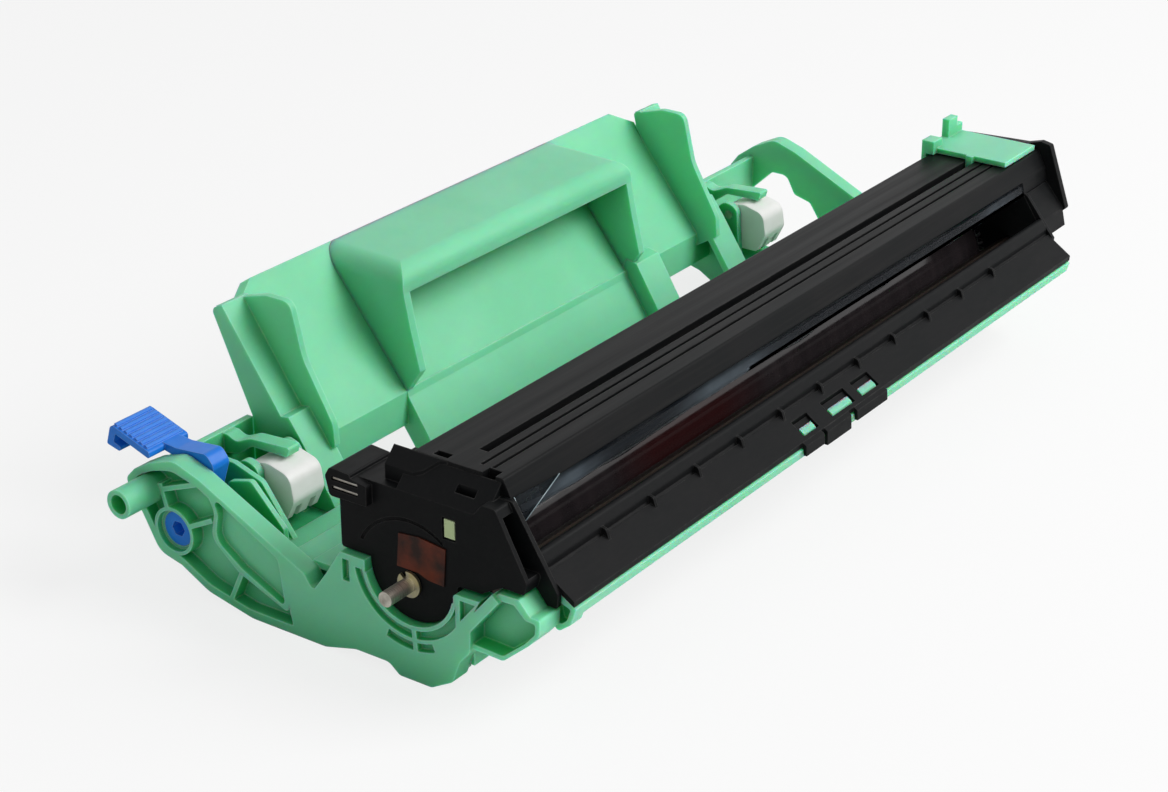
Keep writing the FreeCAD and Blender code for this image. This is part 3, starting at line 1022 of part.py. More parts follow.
def lock_lever():
    """Blue thumb lever: hub in the plate, upright arm, and the ridged pad over the plate's rim."""
    x0 = LEVER_X0
    x1 = LEVER_X0 + LEVER_WIDTH
    hub = rod(LEVER_HUB, NEAR_X + 1.6, x1, LEVER_Y, LEVER_Z)
    hub = hub.cut(hex_socket(NEAR_X + 1.6, NEAR_X + 4.6))
    arm = rounded_along_x([
        (LEVER_Y + 4.0, LEVER_Z, 0.0), (LEVER_Y - 4.0, LEVER_Z, 0.0), (63.2, 24.0, 4.0), (60.4, 32.4, 2.0),
        (62.6, 35.2, 2.0), (72.0, 34.2, 4.0), (77.4, 34.6, 0.0), (77.4, 33.0, 0.0), (71.0, 31.6, 3.0),
        (71.6, 24.0, 6.0)], x0, x1)
    pad = rounded_along_x(pad_outline(), NEAR_X, NEAR_X + 13.0)
    lever = hub.fuse(arm).fuse(pad)
    for index in range(PAD_RIDGES):
        y = PAD_START_Y + 1.0 + index * PAD_PITCH
        z = PAD_START_Z + (y - PAD_START_Y) * PAD_RISE
        ridge = along_x([
            (y, z - 0.3), (y + 0.1, z + 0.4), (y + 0.5, z + 0.75), (y + 1.0, z + 0.75), (y + 1.1, z - 0.3)],
            NEAR_X + 0.6, NEAR_X + 12.4)
        lever = lever.fuse(ridge)
    return lever.removeSplitter()


def pad_outline():
    """Section of the thumb pad, with the lip that curls down at its rear."""
    length = PAD_RIDGES * PAD_PITCH + 1.2
    end_y = PAD_START_Y + length
    end_z = PAD_START_Z + length * PAD_RISE
    return [
        (PAD_START_Y, PAD_START_Z - 1.8, 0.5), (PAD_START_Y, PAD_START_Z, 0.8), (end_y, end_z, 1.2),
        (end_y + 1.6, end_z - 5.4, 0.5), (end_y - 2.6, end_z - 6.4, 0.5), (end_y - 2.8, end_z - 5.2, 0.4),
        (end_y - 0.6, end_z - 4.4, 0.5), (end_y - 1.4, end_z - 2.2, 0.4),
    ]


def hex_socket(x0, x1):
    corners = []
    for index in range(6):
        angle = math.radians(60 * index)
        corners.append((LEVER_Y + 2.0 * math.cos(angle), LEVER_Z + 2.0 * math.sin(angle)))
    return along_x(corners, x0, x1)


def pusher(x0):
    """White block that pushes the toner cartridge towards the drum."""
    x1 = x0 + PUSHER_WIDTH
    body = rounded_along_x([
        (53.0, 14.4, 1.0), (50.2, 20.0, 3.0), (51.2, 26.4, 3.5), (58.0, 28.2, 5.0), (65.0, 26.4, 3.0),
        (65.4, 21.0, 3.0), (64.0, 14.4, 1.0)], x0, x1)
    body = body.cut(rod(PUSHER_PIN_RADIUS + PIVOT_CLEARANCE, x0, x1, PUSHER_PIVOT_Y, PUSHER_PIVOT_Z))
    seat = Part.makeCylinder(2.4, 5.5, V((x0 + x1) / 2, 60.0, SPRING_Z), V(0, 1, 0))
    foot = block(x0 + 2.0, x0 + 4.0, 50.0, 56.0, 13.0, 18.0).fuse(block(x1 - 4.0, x1 - 2.0, 50.0, 56.0, 13.0, 18.0))
    return body.cut(seat).cut(foot)


def pusher_pin(x0):
    return rod(PUSHER_PIN_RADIUS, x0 - 2.4, x0 + PUSHER_WIDTH + 2.4, PUSHER_PIVOT_Y, PUSHER_PIVOT_Z)


def pusher_spring(x0):
    """Coil between a pusher and the frame's rear wall."""
    middle = x0 + PUSHER_WIDTH / 2
    start = 60.0 + SPRING_WIRE / 2
    end = REAR_WALL_Y - SPRING_WIRE / 2
    return coil_spring(1.9, SPRING_WIRE, end - start, 5, V(middle, start, SPRING_Z), V(0, 1, 0))


def build():
    near_bearing, far_bearing = bearing_places()
    return {
        "frame_tray": frame_tray(),
        "handle_panel": handle_panel(),
        "handle_hood": handle_hood(),
        "near_end_cap": near_end_cap(),
        "far_end_cap": far_end_cap(),
        "corona_housing": corona_housing(),
        "exit_guide": exit_guide(),
        "film_strip": film_strip(),
        "corona_grid": corona_grid(),
        "near_wire_block": wire_block(CHANNEL_X0, CHANNEL_X0 + WIRE_BLOCK),
        "far_wire_block": wire_block(CHANNEL_X1 - WIRE_BLOCK, CHANNEL_X1),
        "charge_wire": charge_wire(),
        "wire_cleaner": wire_cleaner(),
        "opc_drum": opc_drum(),
        "near_flange": near_flange(),
        "drum_gear": drum_gear(),
        "drum_shaft": drum_shaft(),
        "shaft_clip": shaft_clip(),
        "shaft_contact": shaft_contact(),
        "grid_contact": grid_contact(),
        "charge_terminal": charge_terminal(),
        "transfer_foam": transfer_foam(),
        "transfer_shaft": transfer_shaft(),
        "transfer_gear": transfer_gear(),
        "near_roller_bearing": roller_bearing(near_bearing),
        "far_roller_bearing": roller_bearing(far_bearing),
        "near_bearing_spring": bearing_spring(near_bearing),
        "far_bearing_spring": bearing_spring(far_bearing),
        "drum_brush": drum_brush(),
        "brush_plate": brush_plate(),
        "lock_lever": lock_lever(),
        "near_pusher": pusher(NEAR_PUSHER_X),
        "far_pusher": pusher(FAR_PUSHER_X),
        "near_pusher_pin": pusher_pin(NEAR_PUSHER_X),
        "far_pusher_pin": pusher_pin(FAR_PUSHER_X),
        "near_pusher_spring": pusher_spring(NEAR_PUSHER_X),
        "far_pusher_spring": pusher_spring(FAR_PUSHER_X),
    }


def bounds(shapes):
    box = FreeCAD.BoundBox()
    for shape in shapes.values():
        box.add(shape.BoundBox)
    return box


def main():
    os.makedirs("parts", exist_ok=True)
    shapes = build()
    box = bounds(shapes)
    shift = V(-(box.XMin + box.XMax) / 2, -(box.YMin + box.YMax) / 2, -box.ZMin)
    print("shift", [round(value, 4) for value in shift])
    print("size", round(box.XLength, 2), round(box.YLength, 2), round(box.ZLength, 2))
    for name, shape in shapes.items():
        moved = shape.copy()
        moved.translate(shift)
        if not moved.isValid() or len(moved.Solids) < 1:
            print("check", name, moved.isValid(), len(moved.Solids))
        if len(moved.Solids) > 1:
            print("solids", name, len(moved.Solids))
        moved.exportStep("parts/" + name + ".step")


if __name__ == "__main__":
    main()
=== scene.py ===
import math

import bmesh
import bpy
from mathutils import Matrix, Vector


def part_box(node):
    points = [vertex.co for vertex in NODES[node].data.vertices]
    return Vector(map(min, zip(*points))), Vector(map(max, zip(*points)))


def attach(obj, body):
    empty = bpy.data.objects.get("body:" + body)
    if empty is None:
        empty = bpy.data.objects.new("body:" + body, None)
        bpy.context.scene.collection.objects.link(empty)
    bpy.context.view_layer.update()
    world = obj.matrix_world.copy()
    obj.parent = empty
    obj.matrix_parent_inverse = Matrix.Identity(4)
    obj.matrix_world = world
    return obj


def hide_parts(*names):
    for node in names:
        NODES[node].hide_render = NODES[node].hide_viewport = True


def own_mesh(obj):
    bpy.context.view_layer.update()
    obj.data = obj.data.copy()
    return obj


bl_info = {
    "name": "Printer drum unit finishes",
    "version": (1, 0, 0),
    "blender": (4, 5, 0),
    "location": "3D View > Sidebar > Drum Unit",
    "description": "Gives the printer drum unit its plastics, metals, film and studio",
    "category": "Object",
}

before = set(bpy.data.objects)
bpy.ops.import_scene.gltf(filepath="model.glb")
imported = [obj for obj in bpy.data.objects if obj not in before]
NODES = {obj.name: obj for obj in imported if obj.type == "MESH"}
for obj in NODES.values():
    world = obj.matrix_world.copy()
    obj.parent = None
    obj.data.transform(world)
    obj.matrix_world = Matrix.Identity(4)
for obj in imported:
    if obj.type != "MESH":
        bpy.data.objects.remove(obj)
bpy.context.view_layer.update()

MM = 0.001

# Places in the part's own millimetres, counted from under the drum's axis
DRUM_CENTRE_X = -6.0
DRUM_AXIS_Z = 23.2
DRUM_LOW, DRUM_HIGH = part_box("opc_drum")
ORIGIN = (DRUM_LOW + DRUM_HIGH) / 2 - Vector((DRUM_CENTRE_X, 0.0, DRUM_AXIS_Z)) * MM
GUIDE_FRONT = Vector((-39.3, 28.5))
GUIDE_STEP = Vector((-31.7, 33.6))

# Film over the bar's front edge. Places along it are a middle and a half width, after the share
# of painted sheen, a painted reflection, where there is one
FILM_THICKNESS = 0.06
FILM_STEPS = 160
FILM_BULGE = (-80.0, 13.0)
FILM_SAG = (-8.0, 16.0)
FILM_SHEEN_BASE = 0.04
FILM_SHEEN_PLACES = ((1.0, -107.0, 11.0), (0.9, -44.0, 17.0), (0.55, 97.0, 9.0))
FLAP_CORNERS = ((-126.6, -23.5, 48.4), (-124.3, -24.5, 41.9), (-110.6, -23.75, 47.6))
FLAP_EDGE_RADIUS = 0.13

# End wall at the drum's far end; the arc round the drum is in degrees
WALL_HOLE_RADIUS = 12.7
WALL_HOLE_TURN = range(112, 181, 4)
WALL_FRONT = [(-28.3, 20.0), (-28.3, 36.6), (-23.9, 43.3), (-13.2, 37.7), (-5.0, 37.0)]
WALL_FOOT = [(-12.7, 20.0)]
WALL_ENDS = (113.85, 114.7)

# Black plates in the guide's windows, put there as painted shade: ends along X, and places behind
# its front edge and below its face
WINDOW_SHADE_ENDS = ((-31.0, -24.0), (-17.5, -6.5), (-3.0, 5.5))
WINDOW_SHADE_FRONT, WINDOW_SHADE_REAR = 3.1, 4.6
WINDOW_SHADE_TOP, WINDOW_SHADE_BOTTOM = 0.9, 2.6

# Coil springs, and how many flats a turn, a wire and a rod are drawn with
SPRING_WIRE = 0.6
PUSHER_COIL_RADIUS = 1.35
PUSHER_COIL_TURNS = 6
BEARING_COIL_RADIUS = 1.4
BEARING_COIL_TURNS = 2
COIL_STEPS = 20
WIRE_CORNERS = 8
ROD_CORNERS = 10

# Patterns of the finishes, in millimetres. A mould's spark pits and the lines left by drawing
# measure about 0.05 mm and foam pores 0.2 mm: they are drawn as coarse as they need to show
GREEN_FLOW, BLACK_FLOW, SMALL_FLOW = 38.0, 22.0, 5.0
GREEN_SPARK, BLACK_SPARK, SMALL_SPARK = 0.55, 0.6, 0.5
GREEN_GLOSS, BLACK_GLOSS, SMALL_GLOSS = 9.0, 2.5, 3.0
GREEN_SCUFF, BLACK_SCUFF = 6.0, 4.0
# Widths of the pale edges, a painted highlight that is broken into scuffed patches on the green and
# black
GREEN_EDGE_SCUFF_AND_HIGHLIGHT, BLACK_EDGE_SCUFF_AND_HIGHLIGHT, SMALL_EDGE_HIGHLIGHT = 0.7, 0.4, 0.3
SMALL_ROUNDING = 0.3
# Reach of the painted shade in hollows
HOLLOW_SHADE_REACH = 16.0
GREEN_LIGHT_DEPTH, SMALL_LIGHT_DEPTH = 4.0, 2.0
DRAWN_LINE = 0.9
LACQUER_GRAIN = 0.6
TURNED_RING = 0.5
STEEL_CLOUD = 4.0
TARNISH_PATCH, BRONZE_PIT = 6.5, 1.0
COATING_RING = 4.0
FOAM_PORE = 0.8
FILM_SHEEN_PATCH, FILM_RIPPLE = 5.0, 4.0

# Along X, where the drum's coating starts and stops turning redder, each over its fade
RED_BAND_FROM, RED_BAND_TO = (-68.0, -50.0), (-20.0, 2.0)

BEVEL_SAMPLES = 4
HOLLOW_SAMPLES = 8

ABS_IOR = 1.54
SMALL_MOULDING_IOR = 1.5
POLYESTER_IOR = 1.6
COATING_IOR = 1.6

# Studio: places in the part's millimetres, lamps and floor in metres
CAMERA_PLACE = (-500.5, -305.4, 289.2)
CAMERA_VIEW = (0.741, 0.523, -0.421)
SENSOR_WIDTH = 36.0
LAMP_TARGET = (0.0, 20.0, 25.0)
KEY_PLACE, KEY_SIZE = (420.0, -760.0, 820.0), 0.7
FILL_PLACE, FILL_SIZE = (-900.0, -350.0, 500.0), 0.9
FLOOR_SIZE = 12.0
FLOOR_DROP = 0.0002
FLOOR_GLOW = 0.8

# Sockets of the Mix node in its colour mode, where several share a name
MIX_FACTOR, MIX_A, MIX_B, MIX_RESULT = 0, 6, 7, 2

GREEN_NODES = ("frame_tray", "handle_panel", "handle_hood", "wire_cleaner")
SATIN_NODES = (
    "near_end_cap", "far_end_cap", "exit_guide", "near_roller_bearing", "far_roller_bearing")
WHITE_NODES = ("near_pusher", "far_pusher")
IVORY_NODES = ("transfer_gear", "near_wire_block", "far_wire_block")
DARK_NODES = ("near_flange", "drum_gear")
GROUND_NODES = ("drum_shaft", "transfer_shaft", "near_pusher_pin", "far_pusher_pin")
ROLLED_NODES = ("corona_grid", "charge_wire", "charge_terminal")
FOAM_NODES = ("transfer_foam", "drum_brush")


def at(x, y, z):
    """Point of the row frame from the part's own millimetres."""
    return ORIGIN + Vector((x, y, z)) * MM


# Colours and node helpers


def linear(hex_colour):
    """Linear colour, with full alpha, from an sRGB hex value."""
    value = hex_colour.lstrip("#")
    channels = [int(value[i:i + 2], 16) / 255 for i in (0, 2, 4)]
    return [c / 12.92 if c <= 0.04045 else ((c + 0.055) / 1.055) ** 2.4 for c in channels] + [1.0]


def add_node(tree, kind, settings=None, inputs=None):
    """Adds a node with its settings; an input is a value or another node's output socket."""
    node = tree.nodes.new(kind)
    for name, value in (settings or {}).items():
        setattr(node, name, value)
    for name, value in (inputs or {}).items():
        if isinstance(value, bpy.types.NodeSocket):
            tree.links.new(value, node.inputs[name])
        else:
            node.inputs[name].default_value = value
    return node


def empty_material(name):
    """Material with an empty node tree."""
    material = bpy.data.materials.new(name)
    material.use_nodes = True
    material.node_tree.nodes.clear()
    return material, material.node_tree


def add_surface(tree, inputs):
    """Principled shader with the given inputs, wired to the material's output."""
    shader = add_node(tree, "ShaderNodeBsdfPrincipled", None, inputs)
    add_node(tree, "ShaderNodeOutputMaterial", None, {"Surface": shader.outputs["BSDF"]})


def grain_coordinates(tree, stretch=(1.0, 1.0, 1.0)):
    """Object coordinates in millimetres, stretched along the row axes."""
    coordinates = add_node(tree, "ShaderNodeTexCoord")
    scale = [1 / (MM * s) for s in stretch]
    return add_node(tree, "ShaderNodeMapping", None, {
        "Vector": coordinates.outputs["Object"], "Scale": scale}).outputs["Vector"]


def two_tone(tree, pattern, first, second, low=0.3, high=0.7):
    """Colour that turns from the first to the second as the pattern goes from low to high."""
    share = add_node(tree, "ShaderNodeMapRange", None, {
        "Value": pattern, "From Min": low, "From Max": high})
    return add_node(tree, "ShaderNodeMix", {"data_type": "RGBA"}, {
        MIX_FACTOR: share.outputs["Result"], MIX_A: linear(first), MIX_B: linear(second),
    }).outputs[MIX_RESULT]


def patches(tree, grain, size_mm, least, most, detail=3.0, roughness=0.5, ends=(0.3, 0.7)):
    """Value that wanders from least to most over soft patches of a real size."""
    cloud = add_node(tree, "ShaderNodeTexNoise", None, {
        "Vector": grain, "Scale": 1 / size_mm, "Detail": detail, "Roughness": roughness})
    return add_node(tree, "ShaderNodeMapRange", None, {
        "Value": cloud.outputs["Fac"], "From Min": ends[0], "From Max": ends[1],
        "To Min": least, "To Max": most}).outputs["Result"]


def edge_wear_and_highlight(tree, width_mm, share):
    """Share close to a sharp edge and 0 elsewhere, from how far the rounded normal leans; callers
    paint edges paler with it, as a painted highlight.
    """
    soft = add_node(tree, "ShaderNodeBevel", {"samples": BEVEL_SAMPLES}, {"Radius": width_mm * MM})
    plain = add_node(tree, "ShaderNodeNewGeometry")
    lean = add_node(tree, "ShaderNodeVectorMath", {"operation": "DOT_PRODUCT"}, {
        0: soft.outputs["Normal"], 1: plain.outputs["Normal"]})
    mask = add_node(tree, "ShaderNodeMapRange", None, {
        "Value": lean.outputs["Value"], "From Min": 0.80, "From Max": 0.995,
        "To Min": 1.0, "To Max": 0.0})
    return add_node(tree, "ShaderNodeMath", {"operation": "MULTIPLY"}, {
        0: mask.outputs["Result"], 1: share}).outputs["Value"]


def mould_texture(tree, grain, spark_mm, roughness, depth_mm, strength, rounding):
    """Normal of a spark-eroded mould face, with the edges rounded off."""
    spark = add_node(tree, "ShaderNodeTexNoise", None, {
        "Vector": grain, "Scale": 1 / spark_mm, "Detail": 2.0, "Roughness": roughness})
    rounded = add_node(tree, "ShaderNodeBevel", {"samples": BEVEL_SAMPLES}, {"Radius": rounding})
    return add_node(tree, "ShaderNodeBump", None, {
        "Height": spark.outputs["Fac"], "Distance": depth_mm * MM, "Strength": strength,
        "Normal": rounded.outputs["Normal"]}).outputs["Normal"]


# Materials


def green_abs(name, colour, shade, hollow_shade, rounding):
    """Moulded green ABS that lets green light through its walls, with painted shade in hollows and
    edges painted pale, partly scuffs and partly a painted highlight.
    """
    material, tree = empty_material(name)
    grain = grain_coordinates(tree)
    cloud = add_node(tree, "ShaderNodeTexNoise", None, {
        "Vector": grain, "Scale": 1 / GREEN_FLOW, "Detail": 3.0, "Roughness": 0.55})
    base = two_tone(tree, cloud.outputs["Fac"], colour, shade, 0.35, 0.65)
    # Painted shade: where the surface is enclosed, the colour is mixed towards the hollow-shade
    # green
    openness = add_node(tree, "ShaderNodeAmbientOcclusion", {"samples": HOLLOW_SAMPLES}, {
        "Distance": HOLLOW_SHADE_REACH * MM})
    depth = add_node(tree, "ShaderNodeMapRange", None, {
        "Value": openness.outputs["AO"], "From Min": 0.25, "From Max": 0.85,
        "To Min": 0.85, "To Max": 0.0})
    body = add_node(tree, "ShaderNodeMix", {"data_type": "RGBA"}, {
        MIX_FACTOR: depth.outputs["Result"], MIX_A: base, MIX_B: linear(hollow_shade)})
    # Pale edges: partly scuffs, partly a painted highlight
    tinted = add_node(tree, "ShaderNodeMix", {"data_type": "RGBA"}, {
        MIX_FACTOR: 0.65, MIX_A: body.outputs[MIX_RESULT], MIX_B: linear("#C4F2DC")})
    scuffs = patches(tree, grain, GREEN_SCUFF, 0.45, 0.95, 4.0, 0.7, (0.35, 0.65))
    wear_and_highlight = edge_wear_and_highlight(tree, GREEN_EDGE_SCUFF_AND_HIGHLIGHT, scuffs)
    worn_and_highlit = add_node(tree, "ShaderNodeMix", {"data_type": "RGBA"}, {
        MIX_FACTOR: wear_and_highlight, MIX_A: body.outputs[MIX_RESULT], MIX_B: tinted.outputs[MIX_RESULT]})
    add_surface(tree, {
        "Base Color": worn_and_highlit.outputs[MIX_RESULT],
        "Roughness": patches(tree, grain, GREEN_GLOSS, 0.40, 0.52),
        "Normal": mould_texture(tree, grain, GREEN_SPARK, 0.6, 0.03, 0.35, rounding),
        "IOR": ABS_IOR,
        "Specular IOR Level": 0.25,
        "Subsurface Weight": 0.9,
        "Subsurface Radius": (0.03, 1.0, 0.35),
        "Subsurface Scale": GREEN_LIGHT_DEPTH * MM,
    })
    return material


def black_abs(name, colour, stretch, streak, roughness, rounding):
    """Black moulded ABS: satin, with faint lines along long mouldings and edges painted grey,
    partly scuffs and partly a painted highlight.
    """
    material, tree = empty_material(name)
    grain = grain_coordinates(tree)
    drawn = grain_coordinates(tree, stretch)
    cloud = add_node(tree, "ShaderNodeTexNoise", None, {
        "Vector": grain, "Scale": 1 / BLACK_FLOW, "Detail": 4.0, "Roughness": 0.6})
    base = two_tone(tree, cloud.outputs["Fac"], colour, "#121213", 0.35, 0.65)
    lines = add_node(tree, "ShaderNodeTexNoise", None, {
        "Vector": drawn, "Scale": 1 / DRAWN_LINE, "Detail": 3.0, "Roughness": 0.6})
    paleness = add_node(tree, "ShaderNodeMapRange", None, {
        "Value": lines.outputs["Fac"], "From Min": 0.45, "From Max": 0.75,
        "To Min": 0.0, "To Max": streak})
    streaked = add_node(tree, "ShaderNodeMix", {"data_type": "RGBA"}, {
        MIX_FACTOR: paleness.outputs["Result"], MIX_A: base, MIX_B: linear("#232221")})
    scuffs = patches(tree, grain, BLACK_SCUFF, 0.1, 0.6, 4.0, 0.7, (0.35, 0.7))
    # Grey edges: partly scuffs, partly a painted highlight
    wear_and_highlight = edge_wear_and_highlight(tree, BLACK_EDGE_SCUFF_AND_HIGHLIGHT, scuffs)
    worn_and_highlit = add_node(tree, "ShaderNodeMix", {"data_type": "RGBA"}, {
        MIX_FACTOR: wear_and_highlight, MIX_A: streaked.outputs[MIX_RESULT], MIX_B: linear("#565554")})
    grooved = add_node(tree, "ShaderNodeBump", None, {
        "Height": lines.outputs["Fac"], "Distance": 0.02 * MM, "Strength": 0.35 * streak,
        "Normal": mould_texture(tree, grain, BLACK_SPARK, 0.6, 0.02, 0.3, rounding)})
    add_surface(tree, {
        "Base Color": worn_and_highlit.outputs[MIX_RESULT],
        "Roughness": patches(tree, drawn, BLACK_GLOSS, roughness - 0.06, roughness + 0.08),
        "Normal": grooved.outputs["Normal"],
        "IOR": ABS_IOR,
        "Specular IOR Level": 0.06,
    })
    return material


def small_moulding(name, colour, second, roughness, spark_mm, subsurface=0.0):
    """Small moulded piece: one resin with slight mottling, fine mould texture and edges painted
    pale as a painted highlight.
    """
    material, tree = empty_material(name)
    grain = grain_coordinates(tree)
    cloud = add_node(tree, "ShaderNodeTexNoise", None, {
        "Vector": grain, "Scale": 1 / SMALL_FLOW, "Detail": 3.0})
    base = two_tone(tree, cloud.outputs["Fac"], colour, second, 0.35, 0.65)
    # Pale edges: a painted highlight
    worn_and_highlit = add_node(tree, "ShaderNodeMix", {"data_type": "RGBA"}, {
        MIX_FACTOR: edge_wear_and_highlight(tree, SMALL_EDGE_HIGHLIGHT, 0.25), MIX_A: base, MIX_B: linear("#F4F4F4")})
    add_surface(tree, {
        "Base Color": worn_and_highlit.outputs[MIX_RESULT],
        "Roughness": patches(tree, grain, SMALL_GLOSS, roughness - 0.05, roughness + 0.05),
        "Normal": mould_texture(tree, grain, spark_mm, 0.5, 0.02, 0.3, SMALL_ROUNDING * MM),
        "IOR": SMALL_MOULDING_IOR,
        "Specular IOR Level": 0.3,
        "Subsurface Weight": subsurface,
        "Subsurface Radius": (1.0, 1.0, 1.0),
        "Subsurface Scale": SMALL_LIGHT_DEPTH * MM,
    })
    return material


def turned_metal(name, colour, roughness):
    """Ground or turned metal: bright, with fine rings round its axis."""
    material, tree = empty_material(name)
    rings = add_node(tree, "ShaderNodeTexNoise", None, {
        "Vector": grain_coordinates(tree, (0.25, 6.0, 6.0)), "Scale": 1 / TURNED_RING,
        "Detail": 3.0})
    uneven = add_node(tree, "ShaderNodeMapRange", None, {
        "Value": rings.outputs["Fac"], "From Min": 0.3, "From Max": 0.7,
        "To Min": roughness - 0.06, "To Max": roughness + 0.1})
    ringed = add_node(tree, "ShaderNodeBump", None, {
        "Height": rings.outputs["Fac"], "Distance": 0.01 * MM, "Strength": 0.4})
    add_surface(tree, {
        "Base Color": two_tone(tree, rings.outputs["Fac"], colour, "#9A948A"),
        "Metallic": 1.0,
        "Roughness": uneven.outputs["Result"],
        "Normal": ringed.outputs["Normal"],
    })
    return material


def dark_spring_steel(name):
    """Spring steel sheet, coloured dark brown-grey with a low sheen."""
    material, tree = empty_material(name)
    cloud = add_node(tree, "ShaderNodeTexNoise", None, {
        "Vector": grain_coordinates(tree), "Scale": 1 / STEEL_CLOUD, "Detail": 3.0})
    add_surface(tree, {
        "Base Color": two_tone(tree, cloud.outputs["Fac"], "#2A2522", "#332B26"),
        "Metallic": 1.0,
        "Roughness": 0.5,
    })
    return material


def tarnished_bronze(name):
    """Rolled spring bronze under grease and tarnish: dull dark brown, orange-brown where rubbed."""
    material, tree = empty_material(name)
    grain = grain_coordinates(tree)
    tarnish = add_node(tree, "ShaderNodeTexNoise", None, {
        "Vector": grain, "Scale": 1 / TARNISH_PATCH, "Detail": 3.0})
    gloss = add_node(tree, "ShaderNodeMapRange", None, {
        "Value": tarnish.outputs["Fac"], "From Min": 0.3, "From Max": 0.7,
        "To Min": 0.55, "To Max": 0.28})
    pits = add_node(tree, "ShaderNodeTexNoise", None, {
        "Vector": grain, "Scale": 1 / BRONZE_PIT, "Detail": 3.0})
    pitted = add_node(tree, "ShaderNodeBump", None, {
        "Height": pits.outputs["Fac"], "Distance": 0.05 * MM, "Strength": 0.3})
    add_surface(tree, {
        "Base Color": two_tone(tree, tarnish.outputs["Fac"], "#220E06", "#5A1F06", 0.36, 0.6),
        "Metallic": 0.55,
        "Roughness": gloss.outputs["Result"],
        "Normal": pitted.outputs["Normal"],
    })
    return material


def photo_coating(name):
    """Photoconductor dipped on an aluminium tube: glassy brown-grey, redder over one stretch along
    X.
    """
    material, tree = empty_material(name)
    rings = add_node(tree, "ShaderNodeTexNoise", None, {
        "Vector": grain_coordinates(tree, (1.0, 40.0, 40.0)), "Scale": 1 / COATING_RING,
        "Detail": 3.0})
    along = add_node(tree, "ShaderNodeSeparateXYZ", None, {"Vector": grain_coordinates(tree)})
    starts = add_node(tree, "ShaderNodeMapRange", None, {
        "Value": along.outputs["X"], "From Min": RED_BAND_FROM[0], "From Max": RED_BAND_FROM[1]})
    ends = add_node(tree, "ShaderNodeMapRange", None, {
        "Value": along.outputs["X"], "From Min": RED_BAND_TO[0], "From Max": RED_BAND_TO[1],
        "To Min": 1.0, "To Max": 0.0})
    # Redder over one stretch along X
    red_band = add_node(tree, "ShaderNodeMath", {"operation": "MULTIPLY"}, {
        0: starts.outputs["Result"], 1: ends.outputs["Result"]})
    tinted = add_node(tree, "ShaderNodeMix", {"data_type": "RGBA"}, {
        MIX_FACTOR: red_band.outputs["Value"],
        MIX_A: two_tone(tree, rings.outputs["Fac"], "#272325", "#312B2D"),
        MIX_B: linear("#34191A")})
    gloss = add_node(tree, "ShaderNodeMapRange", None, {
        "Value": rings.outputs["Fac"], "From Min": 0.3, "From Max": 0.7,
        "To Min": 0.10, "To Max": 0.16})
    add_surface(tree, {
        "Base Color": tinted.outputs[MIX_RESULT],
        "Roughness": gloss.outputs["Result"],
        "IOR": COATING_IOR,
        "Specular IOR Level": 0.3,
        "Coat Weight": 0.15,
        "Coat Roughness": 0.05,
    })
    return material


def foam_rubber(name):
    """Open-cell conductive foam, blown and ground: dull charcoal with visible pores."""
    material, tree = empty_material(name)
    pores = add_node(tree, "ShaderNodeTexVoronoi", None, {
        "Vector": grain_coordinates(tree), "Scale": 1 / FOAM_PORE})
    pitted = add_node(tree, "ShaderNodeBump", None, {
        "Height": pores.outputs["Distance"], "Distance": 0.3 * MM, "Strength": 0.8})
    add_surface(tree, {
        "Base Color": two_tone(tree, pores.outputs["Distance"], "#0E0E0E", "#2C2C2D", 0.1, 0.5),
        "Roughness": 0.9,
        "Normal": pitted.outputs["Normal"],
    })
    return material


def smoky_film(name):
    """Cast polyester film: smoky dark, with bluish patches painted on as a painted reflection."""
    material, tree = empty_material(name)
    painted_sheen = add_node(tree, "ShaderNodeAttribute", {"attribute_name": "painted_sheen"})
    share = add_node(tree, "ShaderNodeMath", {"operation": "MULTIPLY"}, {
        0: painted_sheen.outputs["Fac"],
        1: patches(tree, grain_coordinates(tree, (2.0, 1.0, 1.0)), FILM_SHEEN_PATCH, 0.6, 1.0, 2.0)})
    # Painted reflection: bluish grey is mixed in by the painted sheen share
    with_painted_sheen = add_node(tree, "ShaderNodeMix", {"data_type": "RGBA"}, {
        MIX_FACTOR: share.outputs["Value"], MIX_A: linear("#0E141B"), MIX_B: linear("#616D77")})
    ripple = add_node(tree, "ShaderNodeTexNoise", None, {
        "Vector": grain_coordinates(tree, (6.0, 1.0, 1.0)), "Scale": 1 / FILM_RIPPLE,
        "Detail": 2.0})
    rippled = add_node(tree, "ShaderNodeBump", None, {
        "Height": ripple.outputs["Fac"], "Distance": 0.2 * MM, "Strength": 0.12})
    add_surface(tree, {
        "Base Color": with_painted_sheen.outputs[MIX_RESULT],
        "Roughness": 0.25,
        "Normal": rippled.outputs["Normal"],
        "IOR": POLYESTER_IOR,
        "Specular IOR Level": 0.12,
    })
    return material


def film_edge_highlight(name):
    """Cut edge of the film, painted as a pale line: a painted highlight."""
    material, tree = empty_material(name)
    add_surface(tree, {"Base Color": linear("#7F9298"), "Roughness": 0.3, "IOR": POLYESTER_IOR})
    return material


